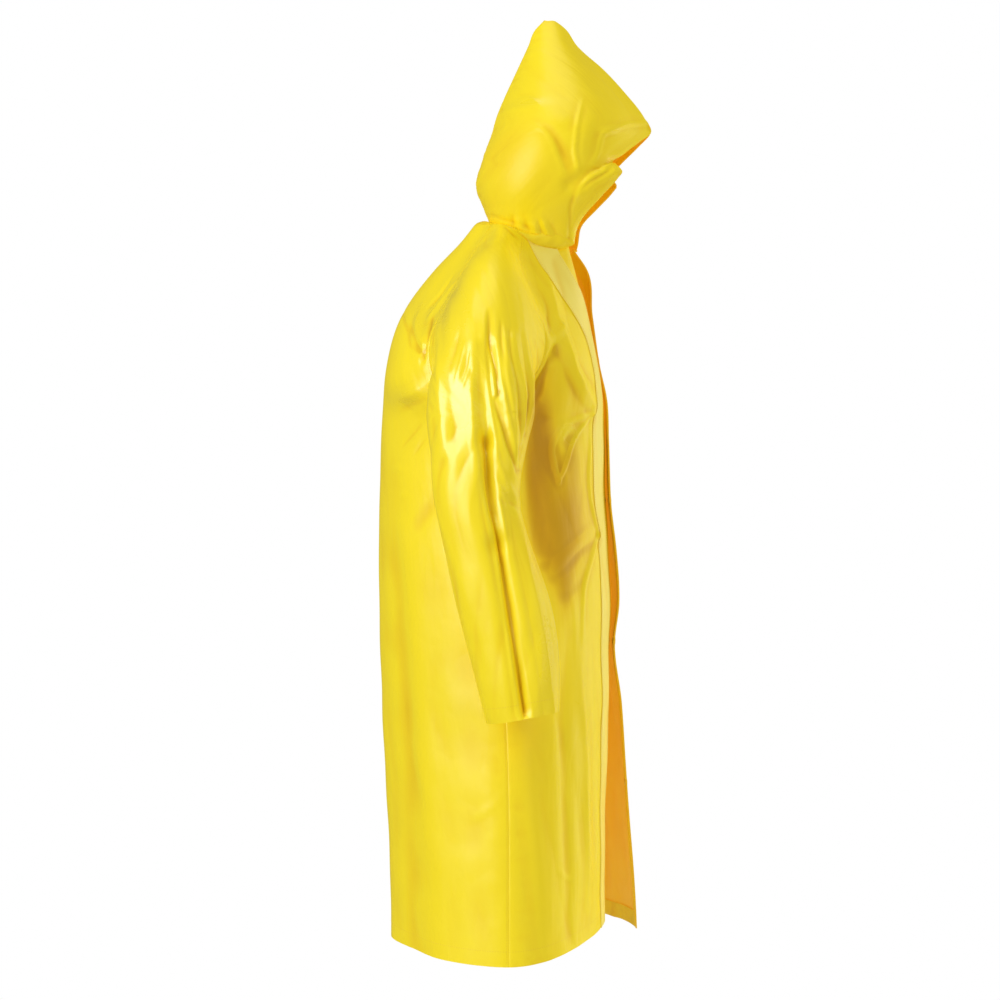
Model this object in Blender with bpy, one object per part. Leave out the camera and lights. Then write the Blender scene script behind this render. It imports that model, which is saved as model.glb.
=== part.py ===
"""Hooded raincoat of coated cloth, filled out as when it is worn.

Every piece is cut cloth: a thin wall laid out as a grid on the surface that the piece takes when the coat is on.
The wearer faces -Y, +X is the wearer's left, and the origin is inside the neck at the height of the shoulders.
A row of a piece runs round the body or the arm, and its level says how far down (or, on the hood, up) it lies.
"""
import math

import bmesh
import bpy
import numpy as np

MM = 0.001

# Cloth and seams
CLOTH = 1.2 * MM
SEAM = 0.3 * MM  # each piece stops this far short of the seam's middle line
LAYER = CLOTH + 0.8 * MM  # from the middle of one layer to the middle of the layer that lies on it
ARMPIT_EASE = 1.9 * MM  # between the body and the sleeve where the two hang face to face
NECK_ROOM = 1.0 * MM  # from the neckline's middle to the neck band's lower edge
HOOD_ROOM = 2.3 * MM  # from the neck band's upper edge to the hood, which leans out over it

# Heights
UNDERARM_Z = -0.290
HEM_Z = -1.100
NECK_BACK_Z = 0.0255

# Strips that are turned in or laid on
HEM_DEPTH = 0.025
CUFF_HEM_DEPTH = 0.025
FACING_WIDTH = 0.022
HOOD_HEM_WIDTH = 0.018
FLAP_WIDTH = 0.055

# Press studs
STUD_DROPS = (0.190, 0.415, 0.640, 0.866)
STUD_INSET = 0.015
CAP_RADIUS = 0.0065
CAP_HEIGHT = 0.0014
SOCKET_RADIUS = 0.0050
SOCKET_HEIGHT = 0.00125
STUD_GAP = 0.45 * MM
DENTED = (3,)  # studs where the front's edge is drawn in
DENT_SPAN = 1.2 * MM  # how far such a stud's cap stands off, so that it spans the dent
STUD_SIDES = 14
STUD_RIM = 0.6  # the height of a stud's upright rim, as a share of its whole height
STUD_TOP = 0.72  # the radius of a stud's flat top, as a share of its rim's

# Finishes
YELLOW = (0.92, 0.72, 0.04)
GLOSS = 0.2
PLASTIC = (0.85, 0.62, 0.10)
PLASTIC_GLOSS = 0.4

RIGHT, LEFT = -1, 1
WORD = {RIGHT: "right", LEFT: "left"}


class Table:
    """Sizes in rows with named columns. A column is read as a smooth curve against the first column."""

    def __init__(self, columns, *rows):
        self.columns = columns.split()
        self.rows = np.array(rows, float)

    def read(self, at, *names):
        places = self.rows[:, 0]
        at = np.clip(np.asarray(at, float), places[0], places[-1])
        left = np.clip(np.searchsorted(places, at, side="right") - 1, 0, len(places) - 2)
        span = places[left + 1] - places[left]
        t = (at - places[left]) / span
        found = []
        for name in names:
            values = self.rows[:, self.columns.index(name)]
            slopes = np.gradient(values, places)
            found.append(
                (1 + 2 * t) * (1 - t) ** 2 * values[left]
                + t * (1 - t) ** 2 * span * slopes[left]
                + t * t * (3 - 2 * t) * values[left + 1]
                - t * t * (1 - t) * span * slopes[left + 1]
            )
        return found

    def points(self, at, *names):
        return np.stack(self.read(at, *names), axis=-1)


# The body below the underarm, against the drop below the origin. sag is how far the side seam hangs lower.
BODY = Table(
    "drop   half_width side_y  back_y  sag",
    (0.290, 0.200, 0.076, 0.2345, 0.000),
    (0.360, 0.208, 0.073, 0.2365, 0.000),
    (0.450, 0.219, 0.064, 0.2376, 0.000),
    (0.600, 0.231, 0.048, 0.2355, 0.000),
    (0.750, 0.241, 0.039, 0.2305, 0.001),
    (0.900, 0.254, 0.035, 0.2235, 0.003),
    (1.000, 0.263, 0.035, 0.2205, 0.004),
    (1.100, 0.272, 0.035, 0.2190, 0.006),
)

# The centre back, from the neck seam down over the shoulder blades.
BACK_LINE = Table(
    "drop     y",
    (-0.0255, 0.086),
    (0.0064, 0.110),
    (0.0350, 0.139),
    (0.0640, 0.164),
    (0.0960, 0.189),
    (0.1280, 0.207),
    (0.1600, 0.2185),
    (0.2000, 0.2275),
    (0.2900, 0.2345),
)

# The two front edges. across is how far an edge lies past the middle towards the other front.
RIGHT_EDGE = Table(
    "drop   across   y",
    (0.013, -0.034, -0.060),
    (0.057, -0.030, -0.0718),
    (0.107, -0.024, -0.083),
    (0.1435, -0.018, -0.0925),
    (0.190, -0.008, -0.104),
    (0.247, 0.002, -0.1150),
    (0.320, 0.011, -0.1185),
    (0.415, 0.017, -0.1207),
    (0.500, 0.018, -0.1260),
    (0.580, 0.017, -0.1285),
    (0.640, 0.015, -0.1262),
    (0.734, 0.008, -0.1250),
    (0.887, -0.002, -0.1195),
    (1.000, -0.006, -0.1180),
    (1.080, -0.008, -0.1180),
)
LEFT_EDGE = Table(
    "drop   across   y",
    (0.013, -0.036, -0.072),
    (0.042, -0.034, -0.091),
    (0.120, -0.028, -0.1005),
    (0.198, -0.014, -0.1110),
    (0.255, 0.000, -0.1225),
    (0.320, 0.008, -0.1250),
    (0.415, 0.013, -0.1287),
    (0.500, 0.012, -0.1375),
    (0.580, 0.010, -0.1410),
    (0.640, 0.012, -0.1345),
    (0.734, 0.005, -0.1450),
    (0.807, 0.000, -0.1505),
    (0.941, -0.006, -0.1610),
    (1.053, -0.008, -0.1680),
    (1.100, -0.008, -0.1705),
)

# The storm flap's free edge, as its distance from the right front's edge.
FLAP_EDGE = Table(
    "drop   inset",
    (0.013, 0.032),
    (0.060, 0.024),
    (0.110, 0.011),
    (0.150, 0.007),
    (0.190, 0.0225),
    (0.260, 0.027),
    (0.390, 0.036),
    (0.640, 0.035),
    (0.734, 0.027),
    (0.887, 0.0225),
    (1.100, 0.018),
)

# The raglan sleeve from the neckline (level 0) to the underarm (level 1). Each row is an arch from the front seam
# over the shoulder line to the back seam. bulge fills the arch out to front and back, and closed turns it to a ring.
ARCHES = Table(
    "level  f_out  f_y    f_z     b_out  b_y    b_z     t_out  t_y    t_z     bulge  closed",
    (0.00, 0.087, 0.012, -0.004, 0.066, 0.060, 0.017, 0.090, 0.037, 0.012, 0.000, 0.0),
    (0.14, 0.122, 0.017, -0.042, 0.108, 0.086, -0.028, 0.136, 0.046, -0.010, 0.000, 0.0),
    (0.28, 0.154, 0.008, -0.084, 0.146, 0.113, -0.078, 0.186, 0.055, -0.034, 0.000, 0.0),
    (0.43, 0.175, -0.010, -0.127, 0.174, 0.139, -0.132, 0.233, 0.062, -0.072, 0.002, 0.0),
    (0.58, 0.187, -0.021, -0.172, 0.189, 0.155, -0.180, 0.272, 0.068, -0.122, 0.008, 0.1),
    (0.73, 0.194, -0.010, -0.218, 0.196, 0.150, -0.226, 0.302, 0.072, -0.180, 0.022, 0.3),
    (0.88, 0.198, 0.030, -0.260, 0.199, 0.122, -0.264, 0.322, 0.075, -0.236, 0.054, 0.7),
    (1.00, 0.200, 0.076, -0.290, 0.200, 0.076, -0.290, 0.334, 0.078, -0.290, 0.080, 1.0),
)

# The sleeve below the underarm. Its inner and outer sides, its middle from front to back, and how far the ring's
# back lies below its front.
RINGS = Table(
    "level  inner  outer   y      z     half_depth tip",
    (1.00, 0.200, 0.334, 0.077, -0.290, 0.080, 0.000),
    (1.12, 0.214, 0.345, 0.081, -0.342, 0.070, 0.002),
    (1.29, 0.229, 0.352, 0.082, -0.418, 0.062, 0.006),
    (1.48, 0.238, 0.356, 0.062, -0.500, 0.064, 0.012),
    (1.62, 0.242, 0.360, 0.045, -0.560, 0.0665, 0.016),
    (1.76, 0.246, 0.363, 0.031, -0.620, 0.0655, 0.018),
    (1.90, 0.249, 0.366, 0.021, -0.684, 0.0590, 0.019),
    (2.00, 0.251, 0.366, 0.0145, -0.731, 0.0525, 0.020),
)

# The hood from its lower edge (level 0) to the peak (level 1). Its front end is the face edge up to the tip
# (level 0.5) and the seam over the crown from there. pointed is 1 where the two halves meet in a ridge.
HOOD_TIP = 0.50
HOOD_HEM_TOP = 0.44  # the hem of the face opening runs out here
HOOD_SIDE_RISE = 0.35  # the height of a row's widest place, from its front's height (0) to its back's (1)
HOOD = Table(
    "level  f_out  f_y      f_z     side_out side_y  b_y     b_z    pointed",
    (0.00, 0.046, -0.0685, -0.0120, 0.079, 0.000, 0.0650, 0.0275, 0.3),
    (0.05, 0.052, -0.0717, 0.0080, 0.088, 0.000, 0.0700, 0.0400, 0.3),
    (0.10, 0.062, -0.0735, 0.0260, 0.100, -0.004, 0.0765, 0.0560, 0.3),
    (0.19, 0.080, -0.1080, 0.0600, 0.118, -0.012, 0.0861, 0.0840, 0.4),
    (0.26, 0.085, -0.1365, 0.0880, 0.126, -0.022, 0.0830, 0.1060, 0.4),
    (0.29, 0.084, -0.1420, 0.0975, 0.128, -0.025, 0.0800, 0.1140, 0.4),
    (0.32, 0.078, -0.1290, 0.1085, 0.129, -0.028, 0.0770, 0.1230, 0.5),
    (0.38, 0.060, -0.1480, 0.1290, 0.128, -0.032, 0.0718, 0.1400, 0.6),
    (0.44, 0.032, -0.1735, 0.1515, 0.125, -0.038, 0.0654, 0.1575, 0.7),
    (0.50, 0.000, -0.1930, 0.1710, 0.120, -0.042, 0.0606, 0.1715, 0.8),
    (0.57, 0.000, -0.1820, 0.1946, 0.107, -0.046, 0.0542, 0.1946, 0.8),
    (0.68, 0.000, -0.1515, 0.2329, 0.081, -0.047, 0.0383, 0.2329, 0.9),
    (0.79, 0.000, -0.1164, 0.2710, 0.052, -0.044, 0.0207, 0.2710, 0.9),
    (0.89, 0.000, -0.0740, 0.3090, 0.026, -0.035, 0.0032, 0.3090, 0.9),
    (0.96, 0.000, -0.0560, 0.3350, 0.010, -0.032, -0.0080, 0.3350, 0.9),
    (1.00, 0.000, -0.0430, 0.3500, 0.0030, -0.032, -0.0210, 0.3500, 0.9),
)

# The largest folds, each a soft trough (depth below 0) or ridge between two places on the side view of a piece.
SLEEVE_FOLDS = (
    # y0     z0      y1      z1     width  depth
    (0.066, -0.190, 0.066, -0.330, 0.012, -0.007),
    (0.066, -0.330, 0.050, -0.480, 0.013, -0.009),
    (0.050, -0.480, 0.016, -0.715, 0.013, -0.008),
    (0.030, -0.180, 0.024, -0.400, 0.012, 0.005),
)
HOOD_FOLDS = (
    (-0.1267, 0.112, -0.060, 0.072, 0.010, -0.005),
)

# Levels run from 0 at the neckline over 1 at the underarm to 2 at the hem or the cuff, and on the hood from 0 to 1.
# The body has a row at each press stud.
COAT_END = 2.0
HOOD_END = 1.0
ARCH_LEVELS = (0, 0.14, 0.28, 0.41, 0.53, 0.639, 0.76, 0.88, 1)
BODY_LEVELS = (*ARCH_LEVELS, 1.07, 1.154, 1.25, 1.34, 1.432, 1.52, 1.61, 1.711, 1.80, 1.89)
SLEEVE_LEVELS = (*ARCH_LEVELS, 1.12, 1.24, 1.36, 1.48, 1.60, 1.72, 1.84)
HOOD_LEVELS = (0, 0.05, 0.10, 0.19, 0.26, 0.29, 0.32, 0.38, 0.44, 0.50, 0.57, 0.68, 0.79, 0.89, 0.96, 1)
FRONT_CELLS = 9
FLAP_CELLS = 3
BACK_CELLS = 14
SLEEVE_CELLS = 18
HOOD_CELLS = 12
BAND_CELLS = 22

# Bezier handles: ROUND draws a round quarter, as a share of the quarter's side.
ROUND_HANDLE = 0.55
BACK_HANDLE = 0.50
FRONT_HANDLE = 0.42
SIDE_HANDLE = 0.50
LEAST_HANDLE = 0.25  # of a row's chord

# A front leaves its free edge straight across the body, and nearer to the neck it slopes with the shoulder.
ACROSS = (1.0, 0.02, 0.0)
NECK_SLOPE = (0.72, 0.48, -0.50)
NECK_SLOPE_END = 0.45

LENGTH_SAMPLES = 65
PLACE_ROWS = 401
NORMAL_STEP = 1e-3


def unit(vectors):
    return vectors / np.maximum(np.linalg.norm(vectors, axis=-1, keepdims=True), 1e-12)


def mix(a, b, share):
    return a + (b - a) * share


def bezier(controls, t):
    """Points on chains of cubic curves. controls: (rows, links, 4, 3). t: (rows, columns), one unit to a link."""
    links = controls.shape[1]
    link = np.clip(np.floor(t).astype(int), 0, links - 1)
    t = (t - link)[..., None]
    own = controls[np.arange(len(controls))[:, None], link]
    a, b, c, d = (own[:, :, k] for k in range(4))
    return a * (1 - t) ** 3 + 3 * b * t * (1 - t) ** 2 + 3 * c * t * t * (1 - t) + d * t**3


def at_shares(curve, end, shares):
    """Points at the given shares of each row's length, where curve(t) draws the rows for t from 0 to end."""
    samples = np.linspace(0, end, LENGTH_SAMPLES)
    drawn = curve(np.tile(samples, (len(shares), 1)))
    steps = np.linalg.norm(np.diff(drawn, axis=1), axis=-1)
    run = np.concatenate([np.zeros((len(shares), 1)), np.cumsum(steps, axis=1)], axis=1)
    t = np.stack([np.interp(s * r[-1], r, samples) for s, r in zip(shares, run)])
    return curve(t), run[:, -1]


def seam_points(level):
    """The front and the back raglan seam above the underarm, the side seam below it, as (out, y, z)."""
    high = np.clip(level, 0, 1)
    front = ARCHES.points(high, "f_out", "f_y", "f_z")
    back = ARCHES.points(high, "b_out", "b_y", "b_z")
    side_z = mix(UNDERARM_Z, HEM_Z, np.clip(level - 1, 0, 1))
    half_width, side_y, sag = BODY.read(-side_z, "half_width", "side_y", "sag")
    side = np.stack([half_width, side_y, side_z - sag], axis=-1)
    below = (level > 1)[:, None]
    return np.where(below, side, front), np.where(below, side, back)


def arch_ends(level):
    """The directions in which a front row runs into the sleeve, and in which the sleeve runs into a back row."""
    high = np.clip(level, 0, 1)
    front = ARCHES.points(high, "f_out", "f_y", "f_z")
    back = ARCHES.points(high, "b_out", "b_y", "b_z")
    top = ARCHES.points(high, "t_out", "t_y", "t_z")
    chord = (back - front) / 2
    rise = top - (front + back) / 2
    closed = np.clip(ARCHES.read(high, "closed")[0], 0, 1)[:, None]
    straight_back = np.array([0.0, 1.0, 0.0])
    into = mix(unit(chord + 2 * rise), straight_back, np.sqrt(closed))
    out_of = mix(unit(chord - 2 * rise), straight_back, np.sqrt(closed))
    return unit(into), unit(out_of)


def mirrored(points, side):
    """Points given as (out, y, z), placed on the wearer's right or left."""
    return points * np.array([side, 1.0, 1.0])


def handle(chord, direction, share):
    """A Bezier handle along a direction, as long as that share of the chord's run in the direction."""
    run = np.sum(chord * direction, axis=-1, keepdims=True)
    least = LEAST_HANDLE * np.linalg.norm(chord, axis=-1, keepdims=True)
    return direction * np.maximum(run * share, least)


def front_rows(side):
    """One front, from its free edge (share 0) to the raglan and side seam (share 1)."""
    edge_table = RIGHT_EDGE if side == RIGHT else LEFT_EDGE
    top, foot = edge_table.rows[0, 0], edge_table.rows[-1, 0]

    def rows(level, shares):
        edge_drop = mix(top, -UNDERARM_Z, np.clip(level, 0, 1)) + (foot + UNDERARM_Z) * np.clip(level - 1, 0, 1)
        across, edge_y = edge_table.read(edge_drop, "across", "y")
        edge = np.stack([-across, edge_y, -edge_drop], axis=-1)
        seam, _ = seam_points(level)
        into, _ = arch_ends(level)
        chord = seam - edge
        neck = np.clip(1 - level / NECK_SLOPE_END, 0, 1)[:, None]
        leave = unit(mix(np.array(ACROSS), np.array(NECK_SLOPE), neck**1.5))
        near = edge + handle(chord, leave, FRONT_HANDLE)
        far = seam - handle(chord, into, SIDE_HANDLE)
        controls = np.stack([edge, near, far, seam], axis=1)[:, None]
        points, lengths = at_shares(lambda t: bezier(controls, t), 1, shares)
        return mirrored(points, side), lengths

    return rows


def back_rows(level, shares):
    """The back, from the right seam (share 0) to the left seam (share 1)."""
    _, seam = seam_points(level)
    _, out_of = arch_ends(level)
    middle_drop = mix(-NECK_BACK_Z, -UNDERARM_Z, np.clip(level, 0, 1))
    middle_drop = middle_drop + (UNDERARM_Z - HEM_Z) * np.clip(level - 1, 0, 1)
    high_y = BACK_LINE.read(middle_drop, "y")[0]
    low_y = BODY.read(middle_drop, "back_y")[0]
    middle_y = np.where(level > 1, low_y, high_y)
    middle = np.stack([np.zeros_like(level), middle_y, -middle_drop], axis=-1)
    outward = np.broadcast_to([1.0, 0.0, 0.0], seam.shape)
    near = seam + handle(middle - seam, out_of, SIDE_HANDLE)
    far = middle + handle(seam - middle, outward, BACK_HANDLE)
    half = np.stack([seam, near, far, middle], axis=1)
    controls = np.stack([mirrored(half, RIGHT), mirrored(half[:, ::-1], LEFT)], axis=1)
    return at_shares(lambda t: bezier(controls, t), 2, shares)


def sleeve_rows(side):
    """One sleeve, from the front seam over the top of the arm to the back seam (share 1)."""

    def rows(level, shares):
        high = np.clip(level, 0, 1)
        low = np.clip(level, 1, 2)
        below = (level > 1)[:, None]
        inner, outer, mid_y, z, half_depth, tip = RINGS.read(low, "inner", "outer", "y", "z", "half_depth", "tip")
        ring_in = np.stack([inner, mid_y, z], axis=-1)
        ring_out = np.stack([outer, mid_y, z], axis=-1)
        front = np.where(below, ring_in, ARCHES.points(high, "f_out", "f_y", "f_z"))
        back = np.where(below, ring_in, ARCHES.points(high, "b_out", "b_y", "b_z"))
        top = np.where(below, ring_out, ARCHES.points(high, "t_out", "t_y", "t_z"))
        bulge = np.where(level > 1, half_depth, ARCHES.read(high, "bulge")[0])[:, None, None]
        closed = np.where(level > 1, 1, np.clip(ARCHES.read(high, "closed")[0], 0, 1))[:, None, None]
        tip = np.where(level > 1, tip, 0)[:, None]
        middle = ((front + back) / 2)[:, None]
        chord = ((back - front) / 2)[:, None]
        rise = top[:, None] - middle
        ease = np.array([ARMPIT_EASE, 0.0, 0.0]) * closed

        def curve(t):
            t = t[..., None]
            arch = mix(1 - (2 * t - 1) ** 2, np.sin(math.pi * t) ** 2, closed)
            forward = -bulge * np.sin(2 * math.pi * t)
            points = middle + chord * (2 * t - 1) + rise * arch + ease
            points = points + forward * np.array([0.0, 1.0, 0.0])
            points[..., 2] -= forward[..., 0] / np.maximum(bulge[..., 0], MM) * tip / 2
            return points

        points, lengths = at_shares(curve, 1, shares)
        return mirrored(points, side), lengths

    return rows


def hood_rows(side):
    """One half of the hood, from the face edge or crown seam (share 0) round to the back seam (share 1)."""

    def rows(level, shares):
        front = HOOD.points(level, "f_out", "f_y", "f_z")
        widest = HOOD.points(level, "side_out", "side_y", "f_z")
        back = HOOD.points(level, "f_out", "b_y", "b_z")
        back[:, 0] = 0
        widest[:, 2] = mix(front[:, 2], back[:, 2], HOOD_SIDE_RISE)
        pointed = HOOD.read(level, "pointed")[0][:, None]
        straight = (widest - front) / 3
        square = np.stack([widest[:, 0] - front[:, 0], 0 * level, 0 * level], axis=-1) * ROUND_HANDLE
        leave = mix(square, straight, pointed)
        along = np.array([0.0, 1.0, 0.0])
        depth = (widest - front)[:, 1:2] * ROUND_HANDLE * along
        rear = (back - widest)[:, 1:2] * ROUND_HANDLE * along
        home = mix(
            np.stack([widest[:, 0], 0 * level, 0 * level], axis=-1) * ROUND_HANDLE,
            (widest - back) / 3,
            pointed * 0.5,
        )
        controls = np.stack(
            [
                np.stack([front, front + leave, widest - depth, widest], axis=1),
                np.stack([widest, widest + rear, back + home, back], axis=1),
            ],
            axis=1,
        )
        points, lengths = at_shares(lambda t: bezier(controls, t), 2, shares)
        return mirrored(points, side), lengths

    return rows


def folded(points, normals, folds, side):
    """Moves points in or out along their normals where a large fold passes, on the side that faces away."""
    facing = np.clip(normals[..., 0] * side, 0, 1)
    for y0, z0, y1, z1, width, depth in folds:
        start = np.array([y0, z0])
        run = np.array([y1, z1]) - start
        offset = points[..., 1:] - start
        along = np.clip((offset @ run) / (run @ run), 0, 1)
        distance = np.linalg.norm(offset - along[..., None] * run, axis=-1)
        swell = depth * np.exp(-((distance / width) ** 2)) * facing
        points = points + normals * swell[..., None]
    return points


class Cloth:
    """A piece's surface: its rows, the way its normals turn, its side, its folds and its last level."""

    def __init__(self, rows, turn, side=RIGHT, folds=(), end=COAT_END):
        self.rows, self.turn, self.side, self.folds, self.end = rows, turn, side, folds, end

    def length(self, level):
        return self.rows(np.array([level], float), np.zeros((1, 1)))[1][0]

    def laid_out(self, levels, shares):
        """Points and outward normals on the grid of levels and shares; shares has one row to a level."""
        levels = np.asarray(levels, float)
        points = self.rows(levels, shares)[0]
        before, after = (self.rows(levels, np.clip(shares + k, 0, 1))[0] for k in (-NORMAL_STEP, NORMAL_STEP))
        over, under = (self.rows(np.clip(levels + k, 0, self.end), shares)[0] for k in (-NORMAL_STEP, NORMAL_STEP))
        normals = unit(np.cross(after - before, under - over)) * self.turn
        return folded(points, normals, self.folds, self.side), normals


FRONT = {side: Cloth(front_rows(side), -side) for side in (RIGHT, LEFT)}
BACK = Cloth(back_rows, 1)
SLEEVE = {side: Cloth(sleeve_rows(side), -side, side, SLEEVE_FOLDS) for side in (RIGHT, LEFT)}
HOOD_HALF = {side: Cloth(hood_rows(side), side, side, HOOD_FOLDS, HOOD_END) for side in (RIGHT, LEFT)}


def material(name, colour, roughness):
    """A plain finish for one piece."""
    finish = bpy.data.materials.new(name)
    finish.use_nodes = True
    shader = finish.node_tree.nodes["Principled BSDF"]
    shader.inputs["Base Color"].default_value = (*colour, 1)
    shader.inputs["Roughness"].default_value = roughness
    shader.inputs["Metallic"].default_value = 0.0
    return finish


def add_object(name, vertices, faces, colour, roughness, parent):
    """A named object from vertices and faces, with its faces turned outwards."""
    mesh = bpy.data.meshes.new(name)
    mesh.from_pydata([tuple(map(float, v)) for v in vertices], [], faces)
    form = bmesh.new()
    form.from_mesh(mesh)
    bmesh.ops.recalc_face_normals(form, faces=form.faces)
    if form.calc_volume(signed=True) < 0:
        bmesh.ops.reverse_faces(form, faces=form.faces)
    form.to_mesh(mesh)
    form.free()
    mesh.materials.append(material(name, colour, roughness))
    piece = bpy.data.objects.new(name, mesh)
    bpy.context.scene.collection.objects.link(piece)
    piece.parent = parent
    return piece


def add_sheet(name, points, normals, parent, lift=0.0):
    """A closed wall of cloth on a grid of points (rows, columns, 3), moved out by lift."""
    row_count, column_count = points.shape[:2]
    middle = points + normals * lift
    outer = (middle + normals * CLOTH / 2).reshape(-1, 3)
    inner = (middle - normals * CLOTH / 2).reshape(-1, 3)
    count = len(outer)

    def at(row, column):
        return row * column_count + column

    faces = []
    for row in range(row_count - 1):
        for column in range(column_count - 1):
            a, b = at(row, column), at(row, column + 1)
            d, c = at(row + 1, column), at(row + 1, column + 1)
            faces += [(a, b, c), (a, c, d), (count + c, count + b, count + a), (count + d, count + c, count + a)]
    rim = [at(0, column) for column in range(column_count)]
    rim += [at(row, column_count - 1) for row in range(1, row_count)]
    rim += [at(row_count - 1, column) for column in range(column_count - 2, -1, -1)]
    rim += [at(row, 0) for row in range(row_count - 2, 0, -1)]
    for a, b in zip(rim, rim[1:] + rim[:1]):
        faces += [(b, a, count + a), (b, count + a, count + b)]
    return add_object(name, np.concatenate([outer, inner]), faces, YELLOW, GLOSS, parent)


def even_shares(cloth, levels, cells, start=SEAM, end=SEAM, marks=()):
    """Even columns on every row, which stop short of both ends, with extra columns at distances from the start."""
    rows = []
    marks = np.broadcast_to(marks, (len(levels), np.shape(marks)[-1]))
    for level, own_marks in zip(levels, marks):
        length = cloth.length(level)
        fixed = [start, *own_marks]
        rest = np.linspace(fixed[-1], length - end, cells + 1)[1:]
        rows.append(np.concatenate([fixed, rest]) / length)
    return np.array(rows)


def strip_shares(cloth, levels, starts, ends, cells=1):
    """Columns between two distances from the start of each row."""
    rows = []
    for level, start, end in zip(levels, starts, ends):
        rows.append(np.linspace(start, end, cells + 1) / cloth.length(level))
    return np.array(rows)


def hem_level(depth):
    """The level on the body that lies this far above the hem."""
    return COAT_END - depth / (UNDERARM_Z - HEM_Z)


def cuff_level(depth):
    """The level on the sleeve that lies this far above the cuff's edge."""
    before, last = RINGS.points(RINGS.rows[-2:, 0], "z", "level")
    return last[1] - depth * (last[1] - before[1]) / (before[0] - last[0])


BODY_ROWS = (*BODY_LEVELS, hem_level(HEM_DEPTH), COAT_END)
SLEEVE_ROWS = (*SLEEVE_LEVELS, cuff_level(CUFF_HEM_DEPTH), COAT_END)


def front_marks(side, levels):
    """Where a front has columns of its own: under the storm flap on the right, along the facing on the left."""
    if side == LEFT:
        return FACING_WIDTH * np.arange(1, 4)
    levels = np.asarray(levels, float)
    edge = FRONT[RIGHT].rows(levels, np.zeros((len(levels), 1)))[0][:, 0]
    inset = FLAP_EDGE.read(-edge[:, 2], "inset")[0]
    return inset[:, None] + FLAP_WIDTH * np.linspace(0, 1, FLAP_CELLS + 1)


def front_shares(side, levels):
    return even_shares(FRONT[side], levels, FRONT_CELLS, marks=front_marks(side, levels))


def make_body(parent):
    for side in (RIGHT, LEFT):
        shares = front_shares(side, BODY_ROWS)
        add_sheet("front_" + WORD[side], *FRONT[side].laid_out(BODY_ROWS, shares), parent)
    shares = even_shares(BACK, BODY_ROWS, BACK_CELLS)
    add_sheet("back", *BACK.laid_out(BODY_ROWS, shares), parent)


def make_sleeves(parent):
    for side in (RIGHT, LEFT):
        shares = even_shares(SLEEVE[side], SLEEVE_ROWS, SLEEVE_CELLS)
        add_sheet("sleeve_" + WORD[side], *SLEEVE[side].laid_out(SLEEVE_ROWS, shares), parent)
        levels = SLEEVE_ROWS[-2:]
        shares = even_shares(SLEEVE[side], levels, SLEEVE_CELLS)
        points, normals = SLEEVE[side].laid_out(levels, shares)
        add_sheet("cuff_hem_" + WORD[side], points, normals, parent, lift=-LAYER)


LEAST_SPREAD = 0.5  # a mitre lengthens a normal to twice its length at the most


def mitred(points, normals, levels):
    """Stands the hood's end normals in the middle plane, so that its two halves meet there in a mitre."""
    normals = normals.copy()
    for column, rows in ((0, np.asarray(levels) >= HOOD_TIP), (-1, np.full(len(levels), True))):
        flat = normals[rows, column]
        spread = np.maximum(np.linalg.norm(flat[:, 1:], axis=-1, keepdims=True), LEAST_SPREAD)
        flat = flat / spread
        flat[:, 0] = 0
        normals[rows, column] = flat
        points[rows, column, 0] = np.sign(points[rows, 1, 0]) * SEAM
    return points, normals


def hood_shares(side, levels):
    """A column along the hem of the face opening, then even ones; short rows near the peak have only even ones."""
    half = HOOD_HALF[side]
    shares = even_shares(half, levels, HOOD_CELLS, marks=(HOOD_HEM_WIDTH,))
    short = np.array([half.length(level) for level in levels]) < 4 * HOOD_HEM_WIDTH
    shares[short] = np.linspace(0, 1, shares.shape[1])
    return shares


def make_hood(parent):
    for side in (RIGHT, LEFT):
        half = HOOD_HALF[side]
        points, normals = half.laid_out(HOOD_LEVELS, hood_shares(side, HOOD_LEVELS))
        points, normals = mitred(points, normals, HOOD_LEVELS)
        add_sheet("hood_" + WORD[side], points, normals, parent)
        levels = [level for level in HOOD_LEVELS if 0 < level <= HOOD_HEM_TOP]
        edge = np.full(len(levels), 2 * SEAM)
        shares = strip_shares(half, levels, edge, np.full(len(levels), HOOD_HEM_WIDTH))
        points, normals = half.laid_out(levels, shares)
        add_sheet("hood_hem_" + WORD[side], points, normals, parent, lift=-LAYER)


def make_neck_band(parent):
    """The band between the neckline and the hood's lower edge, round from one front edge to the other."""
    halves = []
    level = np.zeros(1)
    for side in (RIGHT, LEFT):
        front = FRONT[side].rows(level, front_shares(side, level))[0][0]
        top = SLEEVE[side].rows(level, even_shares(SLEEVE[side], level, SLEEVE_CELLS))[0][0]
        back = BACK.rows(level, even_shares(BACK, level, BACK_CELLS)[:, : BACK_CELLS // 2 + 1])[0][0]
        if side == LEFT:
            back = mirrored(back, -1)
        coat = np.concatenate([front, top, back])
        hood = HOOD_HALF[side].rows(level, hood_shares(side, level))[0][0]
        share = np.linspace(0, 1, BAND_CELLS // 2 + 1)
        halves.append([at_run(coat, share), at_run(hood, share)])
    (coat_right, hood_right), (coat_left, hood_left) = halves
    coat = np.concatenate([coat_right, coat_left[-2::-1]])
    hood = np.concatenate([hood_right, hood_left[-2::-1]])
    rise = unit(hood - coat)
    low = coat + rise * NECK_ROOM
    high = hood - rise * HOOD_ROOM
    points = np.stack([low, high])
    along = np.gradient(coat, axis=0)
    normals = unit(np.cross(rise, along))
    return add_sheet("neck_band", points, np.stack([normals, normals]), parent)


def at_run(line, share):
    """Points at the given shares of a line's length."""
    run = np.concatenate([[0], np.cumsum(np.linalg.norm(np.diff(line, axis=0), axis=-1))])
    return np.stack([np.interp(share * run[-1], run, line[:, k]) for k in range(3)], axis=-1)


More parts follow.
